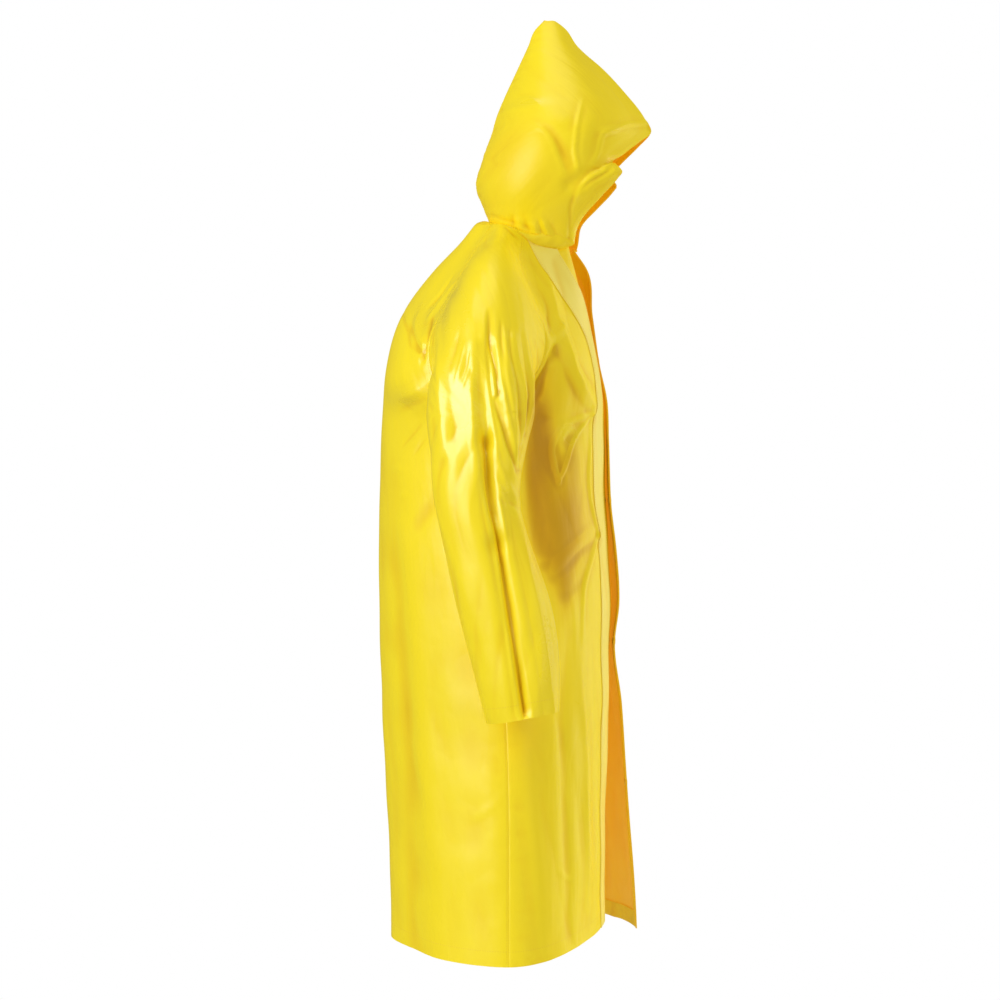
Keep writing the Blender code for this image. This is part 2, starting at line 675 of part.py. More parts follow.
def make_flap(parent):
    shares = front_shares(RIGHT, BODY_ROWS)[:, 1 : FLAP_CELLS + 2]
    points, normals = FRONT[RIGHT].laid_out(BODY_ROWS, shares)
    add_sheet("storm_flap", points, normals, parent, lift=LAYER)


def make_turned_edges(parent):
    """The left front's facing and the hems, which are turned to the inside."""
    levels = BODY_ROWS[:-1]
    edge = np.full(len(levels), 2 * SEAM)
    shares = strip_shares(FRONT[LEFT], levels, edge, edge * 0 + FACING_WIDTH)
    points, normals = FRONT[LEFT].laid_out(levels, shares)
    add_sheet("facing_left", points, normals, parent, lift=-LAYER)
    levels = BODY_ROWS[-2:]
    shares = even_shares(BACK, levels, BACK_CELLS)
    lower = (levels[0] + SEAM / (UNDERARM_Z - HEM_Z), levels[1])
    points, normals = BACK.laid_out(lower, shares)
    add_sheet("hem_back", points, normals, parent, lift=-LAYER)
    for side in (RIGHT, LEFT):
        points, normals = FRONT[side].laid_out(lower, front_shares(side, lower))
        add_sheet("hem_front_" + WORD[side], points, normals, parent, lift=-LAYER)


def disc(name, centre, normal, radius, height, parent):
    """A round plate that stands on its base centre."""
    aside = unit(np.cross(normal, np.array([0.0, 0.0, 1.0])))
    over = np.cross(normal, aside)
    turns = np.linspace(0, 2 * math.pi, STUD_SIDES, endpoint=False)
    ring = np.stack([np.cos(a) * aside + np.sin(a) * over for a in turns])
    profile = ((0.0, 1.0), (height * STUD_RIM, 1.0), (height, STUD_TOP))
    vertices = np.concatenate([centre + normal * rise + ring * radius * spread for rise, spread in profile])
    faces = [tuple(range(STUD_SIDES)), tuple(range(2 * STUD_SIDES, 3 * STUD_SIDES))]
    for step in range(2):
        for k in range(STUD_SIDES):
            after = (k + 1) % STUD_SIDES
            low, high = step * STUD_SIDES, (step + 1) * STUD_SIDES
            faces.append((low + k, low + after, high + after, high + k))
    return add_object(name, vertices, faces, PLASTIC, PLASTIC_GLOSS, parent)


def place_on(cloth, drop, inset):
    """The point and outward normal on a front at this drop, this far in from its free edge."""
    levels = np.linspace(0, COAT_END, PLACE_ROWS)
    edge = cloth.rows(levels, np.zeros((PLACE_ROWS, 1)))[0][:, 0, 2]
    level = float(np.interp(drop, -edge, levels))
    points, normals = cloth.laid_out([level], np.array([[inset / cloth.length(level)]]))
    return points[0, 0], normals[0, 0]


def make_studs(parent):
    """Press studs: a cap and a socket on the left front, and a stud on the right front that meets the socket."""
    for number, drop in enumerate(STUD_DROPS, 1):
        spot, normal = place_on(FRONT[LEFT], drop, STUD_INSET)
        base = CLOTH / 2 + STUD_GAP
        span = DENT_SPAN if number in DENTED else 0
        disc(f"stud_cap_{number}", spot + normal * (base + span), normal, CAP_RADIUS, CAP_HEIGHT, parent)
        under = LAYER + base
        disc(f"stud_socket_{number}", spot - normal * under, -normal, SOCKET_RADIUS, SOCKET_HEIGHT, parent)
        spot, normal = place_on(FRONT[RIGHT], drop, STUD_INSET)
        disc(f"stud_post_{number}", spot + normal * base, normal, SOCKET_RADIUS, SOCKET_HEIGHT, parent)


def make_coat():
    for old in list(bpy.data.objects):
        bpy.data.objects.remove(old)
    coat = bpy.data.objects.new("raincoat", None)
    bpy.context.scene.collection.objects.link(coat)
    make_body(coat)
    make_sleeves(coat)
    make_hood(coat)
    make_neck_band(coat)
    make_flap(coat)
    make_turned_edges(coat)
    make_studs(coat)


make_coat()
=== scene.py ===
"""Looks of the hooded raincoat: coated cloth on its solids' forms, with folds, seams, stitches and studs.

The wearer faces -Y and +X is the wearer's left. Each piece of cloth is drawn as a grid of rows. A row's level
is 0 at the neckline, 1 at the underarm and 2 at the hem or the cuff. On the hood it is 0 at the neck and 1 at
the peak. On the cut of a piece, across is the way along a row and down is the way from the first row.
"""

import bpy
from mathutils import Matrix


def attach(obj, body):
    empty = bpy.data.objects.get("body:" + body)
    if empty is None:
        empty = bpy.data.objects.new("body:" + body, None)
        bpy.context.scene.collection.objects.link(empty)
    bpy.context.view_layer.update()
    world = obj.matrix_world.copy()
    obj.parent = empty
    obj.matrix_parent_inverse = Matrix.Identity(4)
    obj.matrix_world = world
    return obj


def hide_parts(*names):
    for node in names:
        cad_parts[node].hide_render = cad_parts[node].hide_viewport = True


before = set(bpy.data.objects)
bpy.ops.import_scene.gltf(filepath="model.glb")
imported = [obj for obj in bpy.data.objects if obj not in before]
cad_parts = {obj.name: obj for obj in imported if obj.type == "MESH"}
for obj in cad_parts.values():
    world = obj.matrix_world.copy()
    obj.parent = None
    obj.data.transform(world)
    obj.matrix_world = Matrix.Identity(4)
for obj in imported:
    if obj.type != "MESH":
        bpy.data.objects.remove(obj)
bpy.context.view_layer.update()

import copy
import math

import bpy
import numpy as np
from mathutils import Vector

MM = 0.001
RIGHT, LEFT = -1, 1
WORD = {RIGHT: "right", LEFT: "left"}
COAT_END = 2.0  # the last level of the body and the sleeves
HOOD_END = 1.0

# Cloth
THICKNESS = 0.9 * MM
SEAM_GAP = 0.2 * MM
LAP = 7 * MM  # a seam's overlap
LAP_SHARES = (0.10, 0.35, 0.7, 1.0)  # where its points lie
LAP_BEND = 1.5
LAP_SINK = 1.15 * MM  # how far it lies below its neighbour
SEAM_SINK = 0.7 * MM
SEAM_ROUND = 2.4 * MM
SEAM_CALM = 0.014  # how near a seam the creases fade out
SEAM_HOLD = 0.035  # how near its ends a row keeps its plain form
PUCKER = 0.3 * MM
PUCKER_REACH = 9 * MM
PUCKER_LENGTHS = (0.016, 0.040)
ROLL = 0.0007  # the height of the cloth's slow rise and fall
ROLL_LENGTHS = (0.10, 0.30)
SIDEWAYS = 0.3  # a normal's share of x from which the cloth counts as facing sideways
ARMPIT_EASE = 1.9 * MM
NECK_ROOM = 0.6 * MM
NECK_TUCK = 0.003
NECK_DEPTHS = (0.4 * MM, 1.5 * MM)  # how far the band lies inside the coat's edge and the hood's
NECK_BULGE = 0.002
NECK_RIPPLE = 0.0008
NECK_RIPPLE_LENGTHS = (0.02, 0.06)
NECK_BAND_WIDTH = 0.025
TURNED_THICKNESS = 0.8 * MM  # also that of the flap and the neck band
TURNED_LIFT = -1.35 * MM  # what is turned in lies inside the cloth
TURNED_GAP = 0.6 * MM
TURNED_COLUMNS = 9
HEM_DEPTH = 0.025
FACING_WIDTH = 0.022
HOOD_HEM_WIDTH = 0.018
HOOD_HEM_LENGTH = 0.19
FLAP_WIDTH = 0.055
UNDERARM_Z = -0.290
HEM_Z = -1.100
NECK_BACK_Z = 0.0255

# Press studs
STUD_DROPS = (0.190, 0.415, 0.640, 0.866)
STUD_INSET = 0.015
SOCKET_SINK = 1.3 * MM

# Grids
HOLLOW_REACH = 5  # cells
LENGTH_SAMPLES = 65
DOWN_SAMPLES = 400
NORMAL_STEP = 1e-3
EASE_STEPS = (0.008, 0.016, 0.024, 0.032)
EASE_REACH = 0.020
SHARP_ANGLE = 55  # degrees between two faces that meet in a sharp edge


def smooth(low, high, low_slope, high_slope, t):
    """The cubic from low (t 0) to high (t 1) with the given slopes at its ends."""
    return (
        (1 + 2 * t) * (1 - t) ** 2 * low
        + t * (1 - t) ** 2 * low_slope
        + t * t * (3 - 2 * t) * high
        - t * t * (1 - t) * high_slope
    )


class Table:
    """Sizes in rows with named columns. A column is read as a smooth curve against the first column."""

    def __init__(self, columns, *rows):
        self.columns = columns.split()
        self.rows = np.array(rows, float)

    def read(self, at, *names):
        places = self.rows[:, 0]
        at = np.clip(np.asarray(at, float), places[0], places[-1])
        left = np.clip(np.searchsorted(places, at, side="right") - 1, 0, len(places) - 2)
        span = places[left + 1] - places[left]
        t = (at - places[left]) / span
        found = []
        for name in names:
            values = self.rows[:, self.columns.index(name)]
            slopes = np.gradient(values, places)
            ends = values[left], values[left + 1], span * slopes[left], span * slopes[left + 1]
            found.append(smooth(*ends, t))
        return found

    def points(self, at, *names):
        return np.stack(self.read(at, *names), axis=-1)


# The body below the underarm, against the drop below the origin. sag is how far the side seam hangs lower.
BODY = Table(
    "drop   half_width side_y  back_y  sag",
    (0.290, 0.200, 0.076, 0.2345, 0.000),
    (0.360, 0.208, 0.073, 0.2365, 0.000),
    (0.450, 0.219, 0.064, 0.2376, 0.000),
    (0.600, 0.231, 0.048, 0.2355, 0.000),
    (0.750, 0.241, 0.039, 0.2305, 0.001),
    (0.900, 0.254, 0.035, 0.2235, 0.003),
    (1.000, 0.263, 0.035, 0.2205, 0.004),
    (1.100, 0.272, 0.035, 0.2190, 0.006),
)

# The centre back, from the neck seam down over the shoulder blades.
BACK_LINE = Table(
    "drop     y",
    (-0.0255, 0.086),
    (0.0064, 0.110),
    (0.0350, 0.139),
    (0.0640, 0.164),
    (0.0960, 0.189),
    (0.1280, 0.207),
    (0.1600, 0.2185),
    (0.2000, 0.2275),
    (0.2900, 0.2345),
)

# The two front edges. across is how far an edge lies past the middle towards the other front.
RIGHT_EDGE = Table(
    "drop   across   y",
    (0.013, -0.034, -0.060),
    (0.057, -0.030, -0.0718),
    (0.107, -0.024, -0.083),
    (0.1435, -0.018, -0.0925),
    (0.190, -0.008, -0.104),
    (0.247, 0.002, -0.1150),
    (0.320, 0.011, -0.1185),
    (0.415, 0.017, -0.1207),
    (0.500, 0.018, -0.1260),
    (0.580, 0.017, -0.1285),
    (0.640, 0.015, -0.1262),
    (0.734, 0.008, -0.1250),
    (0.887, -0.002, -0.1195),
    (1.000, -0.006, -0.1180),
    (1.080, -0.008, -0.1180),
)
LEFT_EDGE = Table(
    "drop   across   y",
    (0.013, -0.036, -0.072),
    (0.042, -0.034, -0.091),
    (0.120, -0.028, -0.1005),
    (0.198, -0.014, -0.1110),
    (0.255, 0.000, -0.1225),
    (0.320, 0.008, -0.1250),
    (0.415, 0.013, -0.1287),
    (0.500, 0.012, -0.1375),
    (0.580, 0.010, -0.1410),
    (0.640, 0.012, -0.1345),
    (0.734, 0.005, -0.1450),
    (0.807, 0.000, -0.1505),
    (0.941, -0.006, -0.1610),
    (1.053, -0.008, -0.1680),
    (1.100, -0.008, -0.1705),
)

# The storm flap's free edge, as its distance from the right front's edge.
FLAP_EDGE = Table(
    "drop   inset",
    (0.013, 0.032),
    (0.060, 0.024),
    (0.110, 0.011),
    (0.150, 0.007),
    (0.190, 0.0225),
    (0.260, 0.027),
    (0.390, 0.036),
    (0.640, 0.035),
    (0.734, 0.027),
    (0.887, 0.0225),
    (1.100, 0.018),
)

# The raglan sleeve from the neckline to the underarm. Each row is an arch from the front seam over the
# shoulder line (top) to the back seam. bulge fills it out to front and back, and closed makes it a ring.
ARCHES = Table(
    "level front_out front_y front_z back_out back_y back_z top_out top_y top_z bulge closed",
    (0.00, 0.087, 0.012, -0.004, 0.066, 0.060, 0.017, 0.090, 0.037, 0.012, 0.000, 0.0),
    (0.14, 0.122, 0.017, -0.042, 0.108, 0.086, -0.028, 0.136, 0.046, -0.010, 0.000, 0.0),
    (0.28, 0.154, 0.008, -0.084, 0.146, 0.113, -0.078, 0.186, 0.055, -0.034, 0.000, 0.0),
    (0.43, 0.175, -0.010, -0.127, 0.174, 0.139, -0.132, 0.233, 0.062, -0.072, 0.002, 0.0),
    (0.58, 0.187, -0.021, -0.172, 0.189, 0.155, -0.180, 0.272, 0.068, -0.122, 0.008, 0.1),
    (0.73, 0.194, -0.010, -0.218, 0.196, 0.150, -0.226, 0.302, 0.072, -0.180, 0.022, 0.3),
    (0.88, 0.198, 0.030, -0.260, 0.199, 0.122, -0.264, 0.322, 0.075, -0.236, 0.054, 0.7),
    (1.00, 0.200, 0.076, -0.290, 0.200, 0.076, -0.290, 0.334, 0.078, -0.290, 0.080, 1.0),
)

# The sleeve below the underarm: its inner and outer sides, its middle from front to back, half its depth, and
# tip, which is how far the ring's back lies below its front.
RINGS = Table(
    "level  inner  outer   y      z     half_depth tip",
    (1.00, 0.200, 0.334, 0.077, -0.290, 0.080, 0.000),
    (1.12, 0.214, 0.345, 0.081, -0.342, 0.070, 0.002),
    (1.29, 0.229, 0.352, 0.082, -0.418, 0.062, 0.006),
    (1.48, 0.238, 0.356, 0.062, -0.500, 0.064, 0.012),
    (1.62, 0.242, 0.360, 0.045, -0.560, 0.0665, 0.016),
    (1.76, 0.246, 0.363, 0.031, -0.620, 0.0655, 0.018),
    (1.90, 0.249, 0.366, 0.021, -0.684, 0.0590, 0.019),
    (2.00, 0.251, 0.366, 0.0145, -0.731, 0.0525, 0.020),
)

# The hood. A row's front end lies on the face edge up to the tip, and on the seam over the crown from there.
# pointed is how straight the row runs, from 0, which is round.
HOOD_TIP = 0.50
HOOD_HEM_LEVELS = (0.012, 0.44)
HOOD_SIDE_RISE = 0.35  # the height of a row's widest place, from its front's height (0) to its back's (1)
CORNER_JUT = 0.009  # how far the left half's lower corner juts past the right half's
CORNER_LEVEL = 0.03
CORNER_REACH = 0.07
HOOD = Table(
    "level  front_out front_y front_z side_out side_y back_y back_z pointed",
    (0.00, 0.046, -0.0685, -0.0120, 0.079, 0.000, 0.0650, 0.0275, 0.3),
    (0.05, 0.052, -0.0717, 0.0080, 0.088, 0.000, 0.0700, 0.0400, 0.3),
    (0.10, 0.062, -0.0800, 0.0260, 0.100, -0.004, 0.0765, 0.0560, 0.3),
    (0.19, 0.080, -0.1110, 0.0600, 0.118, -0.012, 0.0861, 0.0840, 0.4),
    (0.26, 0.085, -0.1365, 0.0880, 0.126, -0.022, 0.0830, 0.1060, 0.4),
    (0.29, 0.084, -0.1420, 0.0975, 0.128, -0.025, 0.0800, 0.1140, 0.4),
    (0.32, 0.078, -0.1290, 0.1085, 0.129, -0.028, 0.0770, 0.1230, 0.5),
    (0.38, 0.060, -0.1480, 0.1290, 0.128, -0.032, 0.0718, 0.1400, 0.6),
    (0.44, 0.032, -0.1735, 0.1515, 0.125, -0.038, 0.0654, 0.1575, 0.7),
    (0.50, 0.000, -0.1930, 0.1710, 0.120, -0.042, 0.0606, 0.1715, 0.8),
    (0.57, 0.000, -0.1820, 0.1946, 0.107, -0.046, 0.0542, 0.1946, 0.8),
    (0.68, 0.000, -0.1515, 0.2329, 0.081, -0.047, 0.0383, 0.2329, 0.9),
    (0.79, 0.000, -0.1164, 0.2710, 0.052, -0.044, 0.0207, 0.2710, 0.9),
    (0.89, 0.000, -0.0740, 0.3090, 0.026, -0.035, 0.0032, 0.3090, 0.9),
    (0.96, 0.000, -0.0560, 0.3350, 0.010, -0.032, -0.0080, 0.3350, 0.9),
    (1.00, 0.000, -0.0405, 0.3478, 0.0009, -0.032, -0.0225, 0.3502, 0.9),
)

# The largest folds, each a soft trough (depth below 0) or ridge between two places in a piece's side view.
SLEEVE_FORM = (
    # y0     z0      y1      z1     width  depth
    (0.066, -0.190, 0.066, -0.330, 0.012, -0.007),
    (0.066, -0.330, 0.050, -0.480, 0.013, -0.009),
    (0.050, -0.480, 0.016, -0.715, 0.013, -0.008),
    (0.030, -0.180, 0.024, -0.400, 0.012, 0.005),
)
HOOD_FORM = (
    (-0.1267, 0.112, -0.060, 0.072, 0.010, -0.005),
)

# Folds and creases, in millimetres. Each follows a route of places: y and z in the side view for the hood and
# a sleeve's outer side, across and down for the body and a sleeve's inner side. depth is below 0 in a trough
# and above 0 on a ridge. lean widens the left side of the way along the route and steepens its right side.
# start and end are the strengths at the route's ends. Sharp ones (1) come to a line, the others are round.
SLEEVE_CREASES = (
    # route, width, depth, lean, start, end, sharp
    # folds that hang from the shoulder cap towards the crook of the arm
    ("64 -138, 63 -183, 53 -227, 51 -255", 3.6, -4.8, -0.4, 0.2, 0.6, 1),
    ("50 -258, 54 -273, 43 -310, 32 -346, 22 -377", 3, -4.6, -0.4, 0.6, 0.6, 1),
    ("72 -138, 71 -196, 65 -258, 57 -313, 47 -371, 20 -419",
     3.4, 3, 0.3, 0.2, 0.4, 1),
    ("54 -175, 50 -210, 45 -246, 40 -273, 31 -316, 21 -366",
     2.6, 3.2, 0.0, 0.2, 0.4, 1),
    ("41 -162, 38 -229, 28 -285, 22 -342", 3.6, 2.8, 0.0, 0.2, 0.3, 1),
    ("33 -166, 30 -204, 21 -246, 17 -289, 17 -327, 19 -371",
     2.6, -4.2, 0.3, 0.3, 0.6, 1),
    ("26 -169, 21 -204, 13 -248, 11 -289, 16 -335", 2.2, 2.8, 0.0, 0.2, 0.4, 1),
    ("18 -169, 10 -217, 5 -256, 10 -305, 17 -359", 2.4, -3.6, 0.0, 0.3, 0.3, 1),
    ("12 -164, 5 -199, 1 -232, 1 -268, 8 -315", 2.2, 3, 0.0, 0.2, 0.3, 1),
    ("-4 -173, -9 -205, -3 -249", 2.6, -2.6, 0.0, 0.3, 0.3, 1),
    ("46 -150, 45 -185, 40 -215", 2.2, -2.2, 0.0, 0.2, 0.2, 1),
    ("60 -215, 58 -245, 50 -290", 2.2, 2, 0.0, 0.2, 0.2, 1),
    # the long groove down the lower arm, and its overhanging back edge
    ("69 -298, 64 -372, 57 -429", 11, -6, 0.0, 0.3, 0.6, 0),
    ("71 -328, 64 -400, 57 -444, 49 -484, 39 -560, 28 -632, 13 -722",
     4.2, -7.2, -0.5, 0.5, 1.0, 1),
    ("78 -328, 71 -400, 61 -459, 47 -530, 35 -603, 21 -722",
     3.4, 3, 0.0, 0.3, 0.9, 1),
    ("60 -335, 53 -393, 45 -444, 36 -517", 3, 3, 0.0, 0.2, 0.3, 1),
    # the edge between the forearm's outer and front faces
    ("23 -418, 9 -505, -6 -577, -18 -646, -27 -723", 6.5, 5.6, 0.0, 0.2, 0.9, 1),
    ("40 -502, 25 -588, 5 -673, -4 -723", 8, -2.2, 0.0, 0.5, 0.8, 0),
    # the seam that runs down from the back of the neck
    ("40 10, 30 -1, 18 -10", 2.4, -2, 0.0, 0.8, 0.6, 1),
    # small creases beside the crook of the arm
    ("53 -383, 41 -415, 25 -435", 2.6, 2.2, 0.0, 0.3, 0.3, 1),
    ("50 -414, 28 -424", 3, -2, 0.0, 0.3, 0.3, 1),
    ("41 -395, 28 -412", 2.4, 1.8, 0.0, 0.3, 0.3, 1),
    # the flat outer face of the upper arm
    ("110 -171, 117 -198, 125 -228", 2.8, -1.8, 0.0, 0.3, 0.2, 1),
    ("99 -181, 106 -211, 114 -246", 2.6, 1.7, 0.0, 0.3, 0.2, 1),
    ("93 -187, 97 -217, 105 -246", 2.4, -1.8, 0.0, 0.2, 0.2, 1),
    ("92 -199, 99 -234, 108 -257", 2.4, 1.5, 0.0, 0.2, 0.2, 1),
    ("80 -173, 82 -241, 77 -328", 11, -3.6, 0.0, 0.2, 0.4, 0),
    ("137 -160, 137 -250, 126 -345", 7.5, 4.8, 0.0, 0.2, 0.6, 1),
    ("113 -190, 111 -280, 97 -400", 22, -4, 0.0, 0.3, 0.4, 0),
    ("86 -185, 88 -280, 80 -380", 5, 3, 0.0, 0.2, 0.2, 1),
    ("154 -192, 146 -226, 136 -256", 2.8, -1.6, 0.0, 0.2, 0.2, 1),
)
SLEEVE_INNER_CREASES = (
    ("20 400, 50 440, 90 470", 7, -4, 0.0, 0.7, 0.2, 1),
    ("440 400, 400 420, 350 450", 8, -4, 0.0, 0.7, 0.2, 1),
    ("30 510, 70 524, 100 500", 7, -4, 0.0, 0.5, 0.2, 1),
    ("400 500, 350 470, 310 480", 10, -4, 0.0, 0.6, 0.2, 1),
    ("380 590, 340 560, 300 565", 11, -3.4, 0.0, 0.5, 0.2, 1),
    ("360 850, 335 760, 320 680", 14, -5, 0.0, 0.8, 0.2, 0),
)
BACK_CREASES = (
    # drag lines from the back of the right armhole
    ("7 115, 23 137, 43 160", 5.5, 3.6, 0.4, 0.3, 0.6, 1),
    ("34 101, 44 128, 61 152", 4.3, -2.9, 0.0, 0.3, 0.4, 1),
    ("106 186, 59 198, 15 234", 5.5, -4.7, 0.0, 0.2, 0.8, 1),
    ("84 161, 71 183, 27 216", 8.8, 4.5, 0.0, 0.3, 0.4, 1),
    ("33 168, 12 211, 12 246", 4.7, -4.9, 0.0, 0.3, 0.9, 1),
    ("182 184, 97 197, 26 230", 3.9, -2.1, 0.0, 0.3, 0.6, 1),
    ("123 329, 73 316, 32 297", 8.1, 2.4, 0.0, 0.2, 0.5, 1),
    ("147 350, 94 335, 46 319", 7.2, -1.8, 0.0, 0.2, 0.5, 1),
    ("157 407, 128 388, 99 368", 3.3, -2, 0.0, 0.3, 0.2, 1),
    ("124 419, 110 405, 95 393", 2.9, -1.6, 0.0, 0.3, 0.2, 1),
    ("89 449, 88 483, 110 510, 138 538", 13, -1.8, 0.0, 0.2, 0.2, 0),
    ("76 546, 70 574", 2.9, -1.2, 0.0, 0.2, 0.2, 1),
    ("194 437, 136 442", 2.9, 1.2, 0.0, 0.2, 0.2, 1),
    ("169 479, 145 477", 2.6, 1.2, 0.0, 0.2, 0.2, 1),
    # long soft folds from the shoulder blades to the hem
    ("150 330, 146 800, 118 1172", 30, 4, 0.0, 0.0, 0.7, 0),
    ("215 420, 198 800, 200 1172", 34, -4, 0.0, 0.0, 0.8, 0),
    ("300 300, 310 800, 296 1172", 38, 4.5, 0.0, 0.1, 0.8, 0),
    ("60 640, 55 900, 40 1172", 22, -2.2, 0.0, 0.0, 0.9, 0),
    ("180 840, 155 905, 120 960", 12, 1.2, 0.0, 0.1, 0.1, 1),
    ("10 930, 36 949, 60 960", 3.9, 1, 0.0, 0.4, 0.1, 1),
)
FRONT_CREASES = (
    # beside the raglan seam, and from the armpit up towards the flap
    ("115 83, 131 115, 177 163", 3.1, -2.5, 0.0, 0.2, 0.6, 1),
    ("206 197, 170 169, 107 132", 3.5, 2.8, 0.0, 0.2, 0.4, 1),
    ("118 140, 130 159", 3.1, 1.8, 0.0, 0.3, 0.3, 1),
    ("227 263, 216 232, 197 207, 161 172", 11, -8.5, 0.0, 0.7, 0.2, 0),
    # the edge where the front turns towards the flap
    ("68 6, 89 73, 131 149, 149 212, 91 270", 12, 7, 0.0, 0.6, 0.9, 1),
    # the kite-shaped dent on the chest
    ("166 303, 192 338, 194 365, 190 393", 3.1, 2.8, 0.0, 0.3, 0.8, 1),
    ("86 284, 130 317, 153 340, 172 370, 190 393", 2.5, 3.2, 0.0, 0.4, 0.8, 1),
    ("86 284, 133 295, 166 306", 3.5, 2.3, 0.0, 0.5, 0.3, 1),
    ("145 313, 175 342", 12, -2, 0.0, 0.3, 0.2, 0),
    ("178 331, 161 317, 145 313", 4.2, 1.7, 0.0, 0.2, 0.2, 1),
    # the hollow beside the arm, and the edge of its shallow facets towards the front edge
    ("220 263, 229 347, 246 436, 243 512", 30, -13, 0.0, 0.5, 0.3, 0),
    ("87 270, 95 329, 107 397, 93 480", 4.2, 2.5, 0.0, 0.3, 1.0, 1),
    ("93 480, 129 521, 155 563, 165 638", 4.2, 2.8, 0.0, 1.0, 0.3, 1),
    ("94 487, 158 503, 216 544", 16.8, -1.8, 0.0, 0.5, 0.2, 0),
    ("240 533, 171 496, 103 471", 9.8, 2.7, 0.0, 0.2, 0.5, 0),
    ("231 574, 181 560, 144 533", 16.8, -1.6, 0.0, 0.3, 0.2, 0),
    # long soft folds down to the hem
    ("161 638, 168 714, 148 824, 139 1040", 14, 4.6, 0.0, 0.3, 0.5, 0),
    ("204 636, 220 753, 210 873, 205 1068", 15, -4, 0.0, 0.3, 0.5, 0),
    ("292 760, 275 950, 262 1100", 16, 2.8, 0.0, 0.1, 0.7, 0),
    ("237 971, 212 987, 190 997", 2.8, 1, 0.0, 0.2, 0.2, 1),
    ("309 1084, 285 1089", 2.8, 1, 0.0, 0.2, 0.2, 1),
)
HOOD_CREASES = (
    # the ridge and the wedge below the brow, and the facets behind them
    ("-81 209, -71 165, -67 125, -72 99", 2.8, 2.7, 0.0, 0.1, 0.7, 1),
    ("-92 190, -80 141, -75 101", 12, 2.2, 0.0, 0.2, 0.6, 0),
    ("-14 166, -38 139, -53 105", 12, -3.4, 0.0, 0.2, 0.7, 0),
    ("0 169, -27 146, -49 91", 3.1, 1.6, 0.0, 0.2, 0.5, 1),
    ("21 212, 6 212, -7 204, -19 194", 3.5, 1.6, 0.0, 0.3, 0.2, 1),
    # the edge of the turned hem
    ("-185 186, -155 177, -133 164, -112 153", 2.8, 1.4, 0.0, 0.8, 0.8, 1),
    ("-133 162, -112 153, -104 124, -91 101", 3.1, 1.5, 0.0, 1.0, 0.3, 1),
    ("-135 169, -120 162, -109 159", 3.5, 1.9, 0.0, 0.4, 0.4, 1),
    # the pleat's overhang above the throat, and the channel below it
    ("-128 107, -110 95, -94 87, -82 74, -73 62", 6, 5.5, -0.6, 1.0, 0.4, 1),
    ("-124 101, -107 89, -92 80, -80 68", 3, -3.4, 0.0, 1.0, 0.4, 1),
    ("-85 76, -71 63, -62 44, -61 20, -60 -9", 2.8, -1.6, 0.0, 0.5, 0.9, 1),
    # the sewn lower edge, and puckers along it
    ("60 34, 35 21, 0 9, -35 -1, -66 -6", 2.2, -1, 0.0, 0.9, 0.9, 1),
    ("29 16, 29 31", 3.5, -1.3, 0.0, 0.8, 0.2, 1),
    ("17 6, 21 27", 4.2, 2.4, 0.0, 0.9, 0.2, 1),
    ("3 2, 11 24", 3.8, -1.3, 0.0, 0.9, 0.2, 1),
    ("-9 2, -2 18", 4.2, 2.4, 0.0, 0.9, 0.2, 1),
    ("-18 1, -11 24", 3.5, -1.4, 0.0, 0.9, 0.2, 1),
    ("-29 -1, -17 21", 4.2, 2.8, 0.0, 0.9, 0.3, 1),
    ("-44 -4, -30 18", 4.2, -1.3, 0.0, 0.9, 0.2, 1),
)

# Where the film is glossier, or duller (below 0), in the side view. Where it is duller the film's painted
# shade is deeper, and where it is glossier it is lighter.
SHINE = Table(
    "y       z       reach_y reach_z amount",
    (0.105, -0.250, 0.042, 0.100, 1.0),
    (0.115, -0.120, 0.030, 0.045, 0.8),
    (0.168, -0.130, 0.022, 0.030, 0.9),
    (0.030, -0.260, 0.040, 0.110, 0.5),
    (0.040, -0.410, 0.025, 0.040, 0.7),
    (-0.045, -0.160, 0.022, 0.030, 0.4),
    (-0.058, -0.312, 0.020, 0.025, 1.0),
    (-0.050, -0.470, 0.045, 0.080, -0.9),
    (0.000, 0.205, 0.030, 0.008, 1.0),
    (-0.120, 0.160, 0.022, 0.012, 0.4),
    (0.030, 0.120, 0.060, 0.055, -0.9),
    (-0.017, 0.010, 0.014, 0.020, 0.6),
    (0.190, -0.258, 0.030, 0.020, 0.8),
    (0.180, -0.320, 0.025, 0.030, 0.6),
    (-0.020, -0.620, 0.026, 0.120, 0.8),
    (-0.072, -0.720, 0.016, 0.180, 0.6),
)

# Painted shade: where the film's colour is painted a deeper gold, beside the arms and behind the shoulders,
# where the cloth lies in shade.
PAINTED_SHADE = Table(
    "y       z       reach_y reach_z amount",
    (-0.012, -0.300, 0.022, 0.080, 0.72),
    (-0.014, -0.400, 0.026, 0.110, 0.60),
    (-0.055, -0.445, 0.034, 0.055, 0.72),
    (-0.066, -0.350, 0.016, 0.070, 0.45),
    (-0.045, -0.510, 0.032, 0.050, 0.55),
    (-0.052, -0.560, 0.016, 0.045, 0.55),
    (-0.040, -0.350, 0.040, 0.070, 0.25),
    (-0.045, -0.230, 0.020, 0.050, 0.20),
    (0.150, -0.150, 0.012, 0.030, 0.35),
)

# Bezier handles, as shares of a curve's run. ROUND_HANDLE draws a round quarter.
ROUND_HANDLE = 0.55
BACK_HANDLE = 0.50
FRONT_HANDLE = 0.42
SIDE_HANDLE = 0.50
LEAST_HANDLE = 0.25
ACROSS = (1.0, 0.02, 0.0)
NECK_SLOPE = (0.72, 0.48, -0.50)
NECK_SLOPE_END = 0.45


def unit(vectors):
    return vectors / np.maximum(np.linalg.norm(vectors, axis=-1, keepdims=True), 1e-12)


def mix(a, b, share):
    return a + (b - a) * share


def eased(value, low, high):
    """0 below low, 1 above high and smooth between."""
    t = np.clip((value - low) / (high - low), 0, 1)
    return t * t * (3 - 2 * t)


